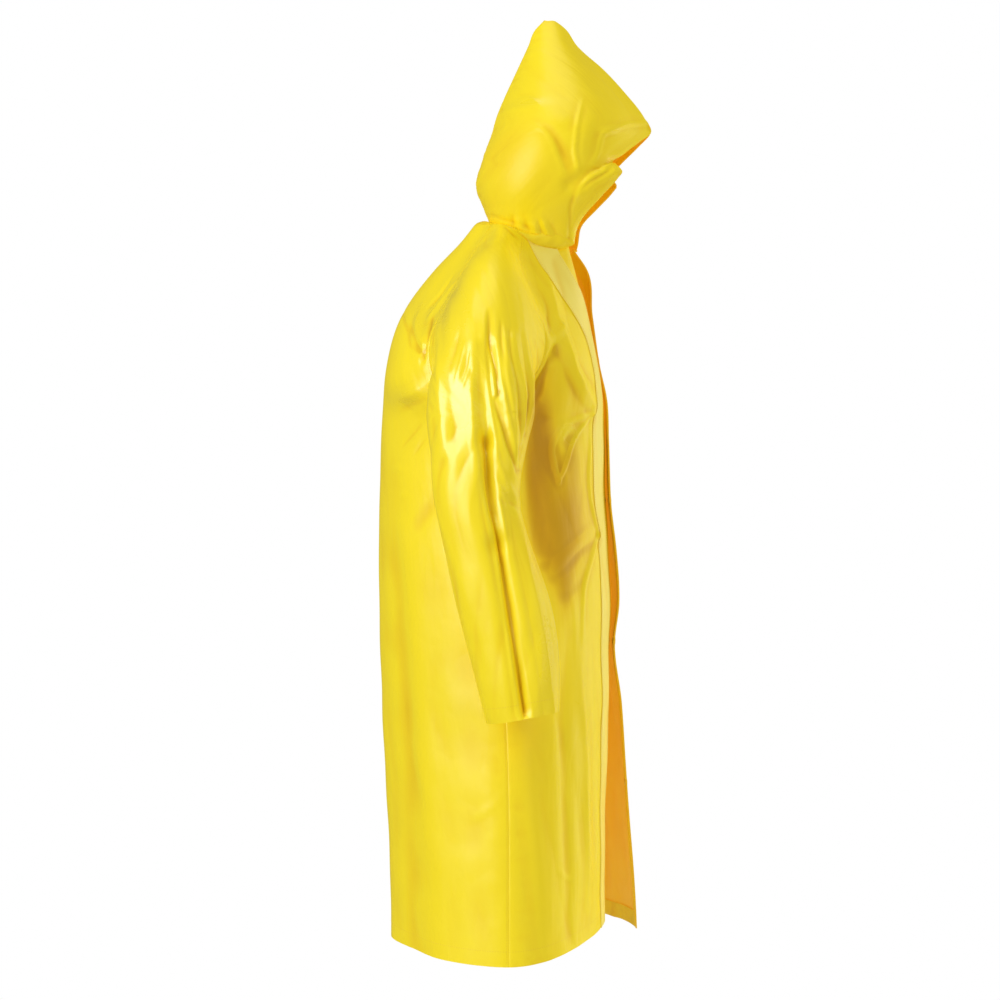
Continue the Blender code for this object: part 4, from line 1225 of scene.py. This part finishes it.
COATED_YELLOW = (0.97, 0.77, 0.014)
# the storm flap's paler, less saturated yellow: painted sheen, for the pale glint the flap shows
SHEEN_PAINTED_YELLOW = (0.97, 0.83, 0.16)
# painted shade: the golds that the film's colour goes to in its troughs and in the shade spots
TROUGH_SHADE_GOLD = (0.84, 0.52, 0.004)
DEEP_SHADE_GOLD = (0.56, 0.30, 0.002)
REVERSE_TAN = (0.93, 0.62, 0.016)
# the backing's darker tone, used at random and, as painted shade, in the inner side's hollows
REVERSE_DEEP = (0.82, 0.40, 0.008)
PAINTED_GLOW = 0.16  # painted glow: how strongly the backing emits light, in place of light from outside shining through the cloth
WEAVE_PITCH = 0.55 * MM
KNIT_PITCH = 0.8 * MM
STREAK_STRETCH = (2.2, 0.45, 1.0)


def weave(finish, cut, pitch):
    """Warp and weft: 0 between the yarns and 1 on a yarn's crown."""
    across, down = finish.parts_of(cut)
    turn = 2 * math.pi / pitch
    return (across * turn).sine() * (down * turn).sine() * 0.5 + 0.5


def coated_cloth(name, yellow):
    """The glossy film on the outer side. Its colour is painted a deeper gold in the cloth's troughs and in
    the shade spots: painted shade, with some random mottle.
    """
    finish = Finish(name, yellow, 0.3, **{"Coat Roughness": 0.22, "IOR": 1.54, "Coat IOR": 1.8})
    cut = finish.mark("cut", "Vector")
    glossy = finish.mark("shine")
    # painted shade: the film's colour goes gold where the cloth lies in a trough
    trough = (finish.mark("fall") * -620.0).held()
    mottle = finish.noise(cut, 9.0)
    # painted shade in troughs and shade spots, with random mottle; less where the film is glossy, more where
    # it is dull
    gold = (trough * 0.7 + finish.mark("shade") * 0.9 + (mottle - 0.5) * 0.25 - glossy * 0.4).held()
    # a darker painted shade where the troughs and shade spots are strongest
    deep = (trough * 0.8 + finish.mark("shade") * 1.4 - glossy.held() * 0.5 - 0.60).held()
    colour = finish.blend(deep, finish.blend(gold, yellow, TROUGH_SHADE_GOLD), DEEP_SHADE_GOLD)
    finish.wear(**{"Base Color": colour})
    smear = finish.noise(cut, 34.0, 5.0, 0.6)
    finish.wear(Roughness=(smear * 0.12 + 0.30 - glossy * 0.12).held(0.08, 0.5))
    finish.wear(**{"Coat Weight": (glossy * 0.9 + (smear - 0.4) * 0.4).held()})
    stretched = {0: cut, 1: STREAK_STRETCH}
    along_folds = finish.node("ShaderNodeVectorMath", {"operation": "MULTIPLY"}, stretched)
    streaks = finish.noise(along_folds, 60.0, 4.0, 0.6)
    crumple = finish.noise(cut, 45.0, 4.0, 0.5)
    peel = finish.noise(cut, 420.0, 2.0)
    crinkle = finish.noise(cut, 12.0, 1.0).folded() * 5.0
    crinkle = crinkle + finish.noise(along_folds, 26.0, 1.0).folded() * 2.2
    fine = peel * 0.08 + weave(finish, cut, WEAVE_PITCH) * 0.03
    height = crinkle + crumple * 0.5 + streaks * (glossy * 0.8 + 0.1) + fine
    finish.relief(height, 0.5, 0.0007)
    return finish.material


def cloth_reverse():
    """The uncoated knit backing on the inner side."""
    # the emission is a painted glow, standing in for light through the cloth
    fixed = {"Sheen Weight": 0.15, "Emission Strength": PAINTED_GLOW}
    finish = Finish("cloth_backing", REVERSE_TAN, 0.7, **fixed)
    cut = finish.mark("cut", "Vector")
    # darker at random, and where the cloth bulges out, which is a hollow on the inner side: painted shade
    # there
    shade = (finish.noise(cut, 12.0) * 0.6 + (finish.mark("fall") * 90.0)).held()
    colour = finish.blend(shade, REVERSE_TAN, REVERSE_DEEP)
    finish.wear(**{"Base Color": colour, "Emission Color": colour})
    finish.wear(Roughness=finish.noise(cut, 80.0) * 0.2 + 0.58)
    finish.relief(weave(finish, cut, KNIT_PITCH) * 0.3 + finish.noise(cut, 60.0), 0.5, 0.0008)
    return finish.material


def stud_plastic():
    finish = Finish("stud_plastic", (0.90, 0.62, 0.10), 0.3)
    place = finish.node("ShaderNodeTexCoord", {}, {}, "Object")
    grain = finish.noise(place, 900.0)
    finish.wear(Roughness=grain * 0.2 + 0.25)
    colour = finish.blend(finish.noise(place, 120.0), (0.92, 0.66, 0.12), (0.80, 0.50, 0.06))
    finish.wear(**{"Base Color": colour})
    finish.relief(grain, 0.2, 0.0002)
    return finish.material


def thread():
    finish = Finish("sewing_thread", (0.85, 0.58, 0.03), 0.55, **{"Sheen Weight": 0.2})
    place = finish.node("ShaderNodeTexCoord", {}, {}, "Object")
    twist = finish.noise(place, 1500.0)
    finish.wear(**{"Base Color": finish.blend(twist, (0.90, 0.66, 0.05), (0.78, 0.48, 0.02))})
    finish.relief(twist, 0.3, 0.0002)
    return finish.material


FILM = coated_cloth("coated_yellow", COATED_YELLOW)
# the storm flap's film, painted paler: painted sheen
SHEEN_PAINTED_FILM = coated_cloth("coated_yellow_painted_sheen", SHEEN_PAINTED_YELLOW)
BACKING, PLASTIC, THREAD = cloth_reverse(), stud_plastic(), thread()
SLOT_CLOTH, SLOT_STUD = "coated_cloth", "stud_plastic"


# Stitches ------------------------------

STITCH_PITCH = 4.0 * MM
STITCH_LENGTH = 2.7 * MM
STITCH_RADIUS = 0.28 * MM
STITCH_SIDES = 6
STITCH_SHAPE = ((-0.5, 0.45, -0.5), (0.0, 1.0, 0.35), (0.5, 0.45, -0.5))  # along, girth and rise
STITCH_INSET = 0.003  # how far a row of stitches lies from an edge
CROWN_INSET = 0.004


def resampled(line, pitch, *others):
    """Points (and what goes with them) at even steps along a line."""
    run = run_along(line)
    at = np.arange(pitch / 2, run[-1], pitch)
    found = []
    for values in (line, *others):
        found.append(np.stack([np.interp(at, run, values[:, k]) for k in range(3)], axis=-1))
    return found


def stitch_row(line, normals):
    """The points and faces of a row of stitches on a line, each a short bar that dips in at its ends."""
    ahead = np.gradient(line, axis=0)
    middle, out, run = resampled(line, STITCH_PITCH, normals, ahead)
    run, out = unit(run), unit(out)
    aside = unit(np.cross(run, out))
    turns = np.linspace(0, 2 * math.pi, STITCH_SIDES, endpoint=False)
    rings = []
    for step, girth, rise in STITCH_SHAPE:
        centre = middle + run * step * STITCH_LENGTH + out * (THICKNESS / 2 + rise * STITCH_RADIUS)
        ring = np.cos(turns)[:, None, None] * aside + np.sin(turns)[:, None, None] * out
        rings.append(centre + ring * STITCH_RADIUS * girth)
    points = np.moveaxis(np.stack(rings), 2, 0)
    count = len(middle)
    base = np.arange(count)[:, None] * 3 * STITCH_SIDES
    side = np.arange(STITCH_SIDES)
    after = (side + 1) % STITCH_SIDES
    quads = []
    for low in (0, STITCH_SIDES):
        high = low + STITCH_SIDES
        corners = [base + low + side, base + high + side, base + high + after, base + low + after]
        quads.append(np.stack(corners, axis=-1))
    quads = np.concatenate(quads, axis=1).reshape(-1, 4)
    fan = np.array([(0, k, k + 1) for k in range(1, STITCH_SIDES - 1)])
    last = fan[:, ::-1] + 2 * STITCH_SIDES
    caps = (base[:, :, None] + np.concatenate([fan, last])[None]).reshape(-1, 3)
    return points.reshape(-1, 3), quads, caps


def stitches(name, rows):
    """One piece for several rows of stitches, each given by its line and its normals."""
    points, quads, caps, count = [], [], [], 0
    for line, normals in rows:
        own, own_quads, own_caps = stitch_row(line, normals)
        points.append(own)
        quads.append(own_quads + count)
        caps.append(own_caps + count)
        count += len(own)
    piece = mesh_piece("stitches_" + name, np.concatenate(points), np.concatenate(quads), [THREAD],
                       triangles=np.concatenate(caps))
    settled(piece, SLOT_CLOTH)


def seam_line(cloth, levels, distance, from_end=False):
    """A line down the cloth at a distance from its rows' starts or ends."""
    length = cloth.length(levels)
    at = (length - distance if from_end else distance + 0 * length) / length
    points, normals, _ = cloth.laid_out(levels, at[:, None])
    return points[:, 0], normals[:, 0]


def row_line(cloth, level, count=160):
    """A line along one row of the cloth, in count steps."""
    levels = np.array([level], float)
    distances = spread(cloth, levels, count, ROW_END, ROW_END)
    points, normals, _ = cloth.laid_out(levels, distances / cloth.length(levels)[:, None])
    return points[0], normals[0]


# Pieces ------------------------------

COAT_FINISH = [FILM, BACKING]
# the storm flap wears the paler film with the painted sheen
FLAP_FINISH = [SHEEN_PAINTED_FILM, BACKING]
TURNED_FINISH = [BACKING, FILM]
BACK_GRID = (232, 186)
FRONT_GRID = {RIGHT: (320, 124), LEFT: (230, 80)}
SLEEVE_GRID = {RIGHT: (230, 196), LEFT: (180, 124)}
HOOD_GRID = {RIGHT: (170, 130), LEFT: (110, 84)}
SLEEVE_FOCUS = ((0.34, 0.18, 2.2),)  # the folds at the front and the outside of the arm
SLEEVE_DOWN_FOCUS = ((0.40, 0.22, 0.8),)
BACK_FOCUS = ((0.08, 0.15, 2.0), (0.92, 0.15, 2.0))  # the drag lines beside the armholes
BACK_DOWN_FOCUS = ((0.22, 0.16, 1.0),)
FRONT_DOWN_FOCUS = ((0.32, 0.20, 1.0),)
CUFF_COLUMNS, BACK_HEM_COLUMNS, FRONT_HEM_COLUMNS = 120, 150, 76
BAND_COLUMNS, BAND_ROWS = 90, 13
FLAP_ROWS, FLAP_COLUMNS = 320, 19
FACING_ROWS = 200
HOOD_HEM_ROWS = 90
CUFF_END = 0.0004
HEM_END = 0.0005
FLAP_ENDS = (0.0005, 0.0003)
FACING_TOP = 0.004
ROW_END = 0.002  # how far short of a row's ends its stitches stop
SLEEVE_LAP_TOP = (-0.02, 0.04)  # the levels between which a sleeve's laps grow to their full width
SLEEVE_LAP_FOOT = (0.80, 0.97)  # and between which they narrow to nothing
FRONT_LAP_TOP = (1.0, 1.04)

# A row of stitches' first and last level, and how many places it is drawn through.
SIDE_SEAM = (1.01, 1.995, 420)
SHOULDER_SEAM = (0.01, 0.98, 200)
FACING_EDGE = (0.01, 1.97, 600)
FACE_EDGE = (0.012, 0.43, 160)
CROWN_SEAM = (0.02, 0.95, 260)


def hem_level(depth):
    return COAT_END - depth / (UNDERARM_Z - HEM_Z)


def sewn(name, node, finishes, sheet, width, length, grown=None, thickness=THICKNESS):
    """A piece of cloth that stands for its node. grown is its sheet with the laps under its neighbours."""
    piece = settled(wall(name, sheet if grown is None else grown, finishes, thickness), SLOT_CLOTH, node)
    area = min(grid_area(sheet["points"]), width * length)


def panel(name, cloth, levels, sheet, grown=None):
    sewn("cloth_" + name, name, COAT_FINISH, sheet, longest(cloth, levels), cloth.long, grown)


def turned_in(name, node, sheet, width, length):
    """A hem or facing, with the backing outward because it is turned in."""
    sewn("turned_" + name, node, TURNED_FINISH, sheet, width, length, None, TURNED_THICKNESS)


def make_sleeves():
    for side, word in WORD.items():
        cloth = SLEEVE[side]
        rows, columns = SLEEVE_GRID[side]
        levels = even_levels(cloth, rows, focus=SLEEVE_DOWN_FOCUS)
        sheet = sheet_of(cloth, levels, spread(cloth, levels, columns, focus=SLEEVE_FOCUS), whole=True)
        lap = LAP * (1 - eased(levels, *SLEEVE_LAP_FOOT)) * eased(levels, *SLEEVE_LAP_TOP)
        panel("sleeve_" + word, cloth, levels, sheet, with_lap(with_lap(sheet, True, lap), False, lap))
        hem_levels = cloth.level(np.linspace(cloth.long - HEM_DEPTH, cloth.long - CUFF_END, TURNED_COLUMNS))
        hem = sheet_of(cloth, hem_levels, spread(cloth, hem_levels, CUFF_COLUMNS), TURNED_LIFT)
        turned_in("cuff_" + word, "cuff_hem_" + word, hem, longest(cloth, hem_levels), HEM_DEPTH)
        cuff = cloth.level(np.array([cloth.long - HEM_DEPTH + STITCH_INSET]))[0]
        stitches("cuff_" + word, [row_line(cloth, cuff, 240)])


def make_body():
    for side, word in WORD.items():
        cloth = FRONT[side]
        rows, columns = FRONT_GRID[side]
        levels = even_levels(cloth, rows, focus=FRONT_DOWN_FOCUS)
        sheet = sheet_of(cloth, levels, spread(cloth, levels, columns), whole=True)
        grown = with_lap(sheet, True, LAP * eased(levels, *FRONT_LAP_TOP))
        panel("front_" + word, cloth, levels, sheet, grown)
    rows, columns = BACK_GRID
    levels = even_levels(BACK, rows, focus=BACK_DOWN_FOCUS)
    sheet = sheet_of(BACK, levels, spread(BACK, levels, columns, focus=BACK_FOCUS), whole=True)
    panel("back", BACK, levels, sheet)
    make_body_hems()
    make_body_stitches()


def make_body_hems():
    for cloth, word in ((BACK, "back"), (FRONT[RIGHT], "front_right"), (FRONT[LEFT], "front_left")):
        levels = np.linspace(hem_level(HEM_DEPTH), COAT_END - HEM_END, TURNED_COLUMNS)
        columns = BACK_HEM_COLUMNS if cloth is BACK else FRONT_HEM_COLUMNS
        hem = sheet_of(cloth, levels, spread(cloth, levels, columns, TURNED_GAP, TURNED_GAP), TURNED_LIFT)
        turned_in("hem_" + word, "hem_" + word, hem, longest(cloth, levels), HEM_DEPTH)
    levels = np.linspace(FACING_TOP, hem_level(HEM_DEPTH), FACING_ROWS)
    strip = sheet_of(FRONT[LEFT], levels, np.linspace(TURNED_GAP, FACING_WIDTH, TURNED_COLUMNS), TURNED_LIFT)
    turned_in("facing", "facing_left", strip, FACING_WIDTH, FRONT[LEFT].long)


def make_body_stitches():
    hem = hem_level(HEM_DEPTH - STITCH_INSET)
    low, high = np.linspace(*SIDE_SEAM), np.linspace(*SHOULDER_SEAM)
    for side, word in WORD.items():
        cloth = FRONT[side]
        stitches("front_" + word, [row_line(cloth, hem), seam_line(cloth, high, STITCH_INSET, True)])
        for name, levels in (("side_", low), ("shoulder_", high)):
            stitches(name + word, [seam_line(BACK, levels, STITCH_INSET, side == LEFT)])
    stitches("back_hem", [row_line(BACK, hem, 320)])
    stitches("facing", [seam_line(FRONT[LEFT], np.linspace(*FACING_EDGE), FACING_WIDTH - STITCH_INSET)])


FLAP_SHUT = 1.25 * MM
FLAP_FREE = 1.1 * MM
FLAP_OPEN = 6.0 * MM  # how far the free edge stands off above the fastened studs
FLAP_CLOSING = (0.10, 0.22)  # the drops between which the free edge comes down
FLAP_FOLD = 0.9  # the share of its width over which it does


def make_flap():
    cloth = FRONT[RIGHT]
    levels = even_levels(cloth, FLAP_ROWS, FLAP_ENDS[0], COAT_END - FLAP_ENDS[1])
    edge = cloth.rows(levels, np.zeros((len(levels), 1)))[0][:, 0]
    inset = FLAP_EDGE.read(-edge[:, 2], "inset")[0]
    share = np.linspace(0, 1, FLAP_COLUMNS)
    open_top = 1 - eased(-edge[:, 2], *FLAP_CLOSING)
    free_edge = mix(FLAP_FREE, FLAP_OPEN, open_top)
    lift = FLAP_SHUT + (free_edge - FLAP_SHUT)[:, None] * (1 - eased(share, 0.0, FLAP_FOLD))
    strip = sheet_of(cloth, levels, inset[:, None] + FLAP_WIDTH * share, lift)
    sewn("cloth_storm_flap", "storm_flap", FLAP_FINISH, strip, FLAP_WIDTH, cloth.long, None, TURNED_THICKNESS)
    stitches("flap", [(strip["points"][3:-3, column], strip["normals"][3:-3, column]) for column in (1, -2)])


def make_hood():
    for side, word in WORD.items():
        cloth = HOOD_HALF[side]
        rows, columns = HOOD_GRID[side]
        levels = even_levels(cloth, rows)
        sheet = sheet_of(cloth, levels, spread(cloth, levels, columns), whole=True)
        meet(sheet, levels, side)
        panel("hood_" + word, cloth, levels, sheet)
        hem_levels = np.linspace(*HOOD_HEM_LEVELS, HOOD_HEM_ROWS)
        distances = np.linspace(TURNED_GAP, HOOD_HEM_WIDTH, TURNED_COLUMNS)
        strip = sheet_of(cloth, hem_levels, distances, TURNED_LIFT)
        turned_in("hood_edge_" + word, "hood_hem_" + word, strip, HOOD_HEM_WIDTH, HOOD_HEM_LENGTH)
        face = seam_line(cloth, np.linspace(*FACE_EDGE), HOOD_HEM_WIDTH - STITCH_INSET)
        crown = seam_line(cloth, np.linspace(*CROWN_SEAM), CROWN_INSET, True)
        stitches("hood_" + word, [face, crown])


HALF_GAP = 0.12 * MM


def meet(sheet, levels, side):
    """Brings the crown and the back seam of a hood half to the middle plane."""
    points, normals = sheet["points"], sheet["normals"]
    for column, rows in ((0, levels >= HOOD_TIP), (-1, levels >= 0)):
        flat = normals[rows, column].copy()
        flat /= np.maximum(np.linalg.norm(flat[:, 1:], axis=-1, keepdims=True), 0.5)
        flat[:, 0] = 0
        normals[rows, column] = flat
        points[rows, column, 0] = side * HALF_GAP


def at_run(line, share):
    """Points at the given shares of a line's length."""
    run = run_along(line)
    return np.stack([np.interp(share * run[-1], run, line[:, k]) for k in range(3)], axis=-1)


def make_neck_band():
    """The band between the neckline and the hood, tucked in under both."""
    halves = []
    level = np.zeros(1)
    for side in WORD:
        shares = np.linspace(0, 1, 40)[None]
        front, top = (cloth.rows(level, shares)[0][0] for cloth in (FRONT[side], SLEEVE[side]))
        back = BACK.rows(level, np.linspace(0, 0.5, 30)[None])[0][0]
        if side == LEFT:
            back = mirrored(back, -1)
        coat = np.concatenate([front, top, back])
        hood = HOOD_HALF[side].rows(level, np.linspace(0, 1, 80)[None])[0][0]
        halves.append([at_run(line, np.linspace(0, 1, BAND_COLUMNS)) for line in (coat, hood)])
    coat, hood = (np.concatenate([right, left[-2::-1]]) for right, left in zip(*halves))
    rise = unit(hood - coat)
    outward = unit(np.cross(rise, np.gradient(coat, axis=0)))
    steps = np.linspace(0, 1, BAND_ROWS)[:, None, None]
    low = coat + rise * NECK_ROOM - outward * NECK_DEPTHS[0]
    high = hood + rise * NECK_TUCK - outward * NECK_DEPTHS[1]
    bulge = np.sin(np.pi * steps) * outward * NECK_BULGE
    run = np.linspace(0, 1, len(coat))
    ripple = waves(11, run * 0.5, 0 * run, NECK_RIPPLE, NECK_RIPPLE_LENGTHS)[:, None]
    points = low + (high - low) * steps + bulge + outward * ripple * np.sin(np.pi * steps)
    sheet = {
        "points": points,
        "normals": np.broadcast_to(outward, points.shape),
        "cut": np.stack(np.broadcast_arrays(run * 0.45, steps[..., 0] * 0.02, 0.0), axis=-1),
        "height": np.zeros(points.shape[:2]),
        "turn": -1,
    }
    length = float(run_along(coat)[-1])
    sewn("cloth_neck_band", "neck_band", COAT_FINISH, sheet, length, NECK_BAND_WIDTH, None, TURNED_THICKNESS)


TURN_SIDES = 32


def round_piece(name, centre, normal, profile, node):
    """A round piece from a profile of (radius, height) in millimetres, stood on a point along a direction."""
    aside = unit(np.cross(normal, np.array([0.0, 0.0, 1.0])))
    over = np.cross(normal, aside)
    turns = np.linspace(0, 2 * math.pi, TURN_SIDES, endpoint=False)
    ring = np.cos(turns)[:, None] * aside + np.sin(turns)[:, None] * over
    points = [centre + normal * (rise * MM) + ring * (radius * MM) for radius, rise in profile]
    side = np.arange(TURN_SIDES)
    after = (side + 1) % TURN_SIDES
    quads = []
    for low in range(0, (len(profile) - 1) * TURN_SIDES, TURN_SIDES):
        high = low + TURN_SIDES
        quads.append(np.stack([low + side, low + after, high + after, high + side], axis=-1))
    points += [centre[None] + normal * (profile[end][1] * MM) for end in (0, -1)]
    middle = len(profile) * TURN_SIDES
    last = middle - TURN_SIDES
    low_cap = np.stack([side * 0 + middle, after, side], axis=-1)
    high_cap = np.stack([side * 0 + middle + 1, last + side, last + after], axis=-1)
    piece = mesh_piece(name, np.concatenate(points), np.concatenate(quads), [PLASTIC],
                       triangles=np.concatenate([low_cap, high_cap]))
    settled(piece, SLOT_STUD, node)


CAP_PROFILE = ((6.4, 0.0), (6.5, 0.5), (6.2, 0.95), (5.6, 1.2), (5.1, 1.15), (4.8, 0.95), (4.3, 0.95),
               (3.0, 1.1), (1.2, 1.2))
SOCKET_PROFILE = ((5.0, 0.0), (5.0, 0.6), (4.6, 1.0), (3.7, 1.2), (2.6, 1.1), (2.1, 0.7), (1.9, 0.4))
POST_PROFILE = ((5.0, 0.0), (5.0, 0.35), (4.4, 0.6), (2.4, 0.62), (2.0, 0.7), (2.1, 1.1), (1.8, 1.25))


def place_on(cloth, drop):
    """The point and normal on a front where a stud lies, at a drop below the origin."""
    levels = np.linspace(0, COAT_END, 401)
    edge = cloth.rows(levels, np.zeros((len(levels), 1)))[0][:, 0, 2]
    level = np.array([np.interp(drop, -edge, levels)])
    points, normals, _ = cloth.laid_out(level, np.array([[STUD_INSET]]) / cloth.length(level)[:, None])
    return points[0, 0], normals[0, 0]


def make_studs():
    face = THICKNESS / 2
    for number, drop in enumerate(STUD_DROPS, 1):
        spot, normal = place_on(FRONT[LEFT], drop)
        round_piece(f"press_cap_{number}", spot + normal * face, normal, CAP_PROFILE, f"stud_cap_{number}")
        inside = spot - normal * (face + SOCKET_SINK)
        round_piece(f"press_socket_{number}", inside, -normal, SOCKET_PROFILE, f"stud_socket_{number}")
        spot, normal = place_on(FRONT[RIGHT], drop)
        round_piece(f"press_post_{number}", spot + normal * face, normal, POST_PROFILE, f"stud_post_{number}")


# Stage ------------------------------

FLOOR_Z = -1.46
FLOOR_RADIUS = 0.85
FLOOR_SIDES = 96
CAMERA_PLACE = (-3.7, 0.048, -0.415)
CAMERA_LENS = 83.5
LIT_PLACE = (0, 0, -0.45)  # where every light points
WHITE = (1, 1, 1)
FILL = 0.42
FILL_COLOUR = (1.0, 0.93, 0.72)
MIRRORED_COLOUR = (0.9, 0.72, 0.22)
LIGHTS = (
    # name, place, size, watts, colour, whether the coat mirrors it
    ("key", (-1.9, 2.3, 0.5), (2.2, 2.4), 62, (0.95, 1.0, 0.90), True),
    ("top", (-0.6, 0.2, 2.6), (2.0, 2.0), 12, WHITE, True),
    ("soft_front", (1.8, -2.3, -0.2), (1.4, 2.8), 52, WHITE, False),
    ("gleam", (1.8, -2.3, -0.2), (1.4, 2.8), 26, WHITE, True),
    ("fill", (-2.5, -2.1, 0.0), (1.6, 2.2), 27, WHITE, False),
)


def make_floor():
    """A pale round floor under the coat."""
    mesh = bpy.data.meshes.new("floor")
    turns = np.linspace(0, 2 * math.pi, FLOOR_SIDES, endpoint=False)
    ring = [(FLOOR_RADIUS * math.cos(turn), FLOOR_RADIUS * math.sin(turn), FLOOR_Z) for turn in turns]
    mesh.from_pydata(ring, [], [tuple(range(len(ring)))])
    floor = bpy.data.objects.new("floor", mesh)
    bpy.context.scene.collection.objects.link(floor)
    mesh.materials.append(Finish("floor_white", (0.9, 0.9, 0.9), 0.8).material)


def panel_light(name, place, size, watts, colour, mirrored_too):
    data = bpy.data.lights.new(name, "AREA")
    data.shape = "RECTANGLE"
    data.size, data.size_y = size
    data.energy = watts
    data.color = colour
    light = bpy.data.objects.new(name, data)
    bpy.context.scene.collection.objects.link(light)
    light.location = place
    way = Vector(LIT_PLACE) - Vector(place)
    light.rotation_euler = way.to_track_quat("-Z", "Y").to_euler()
    light.visible_glossy = mirrored_too


def make_stage():
    make_floor()
    scene = bpy.context.scene
    scene.view_settings.view_transform = "Standard"
    camera = bpy.data.objects.new("camera", bpy.data.cameras.new("camera"))
    scene.collection.objects.link(camera)
    camera.data.lens = CAMERA_LENS
    camera.location = CAMERA_PLACE
    camera.rotation_euler = (math.radians(90), 0, math.radians(-90))
    scene.camera = camera
    for light in LIGHTS:
        panel_light(*light)
    make_surround(scene)


def make_surround(scene):
    """A plain white surround that lights the coat dimly, with a warmer tint in its reflections."""
    scene.world = bpy.data.worlds.new("studio")
    surround = Nodes(scene.world)
    seen = surround.node("ShaderNodeLightPath", {}, {}, "Is Camera Ray")
    reflected = surround.node("ShaderNodeLightPath", {}, {}, "Is Glossy Ray")
    dim, warm = (tuple(FILL * part for part in colour) for colour in (FILL_COLOUR, MIRRORED_COLOUR))
    colour = surround.blend(seen, surround.blend(reflected, dim, warm), WHITE)
    surround.feed(surround.tree.nodes["Background"].inputs["Color"], colour)


def make_coat():
    make_sleeves()
    make_body()
    make_flap()
    make_hood()
    make_neck_band()
    make_studs()


make_coat()
make_stage()
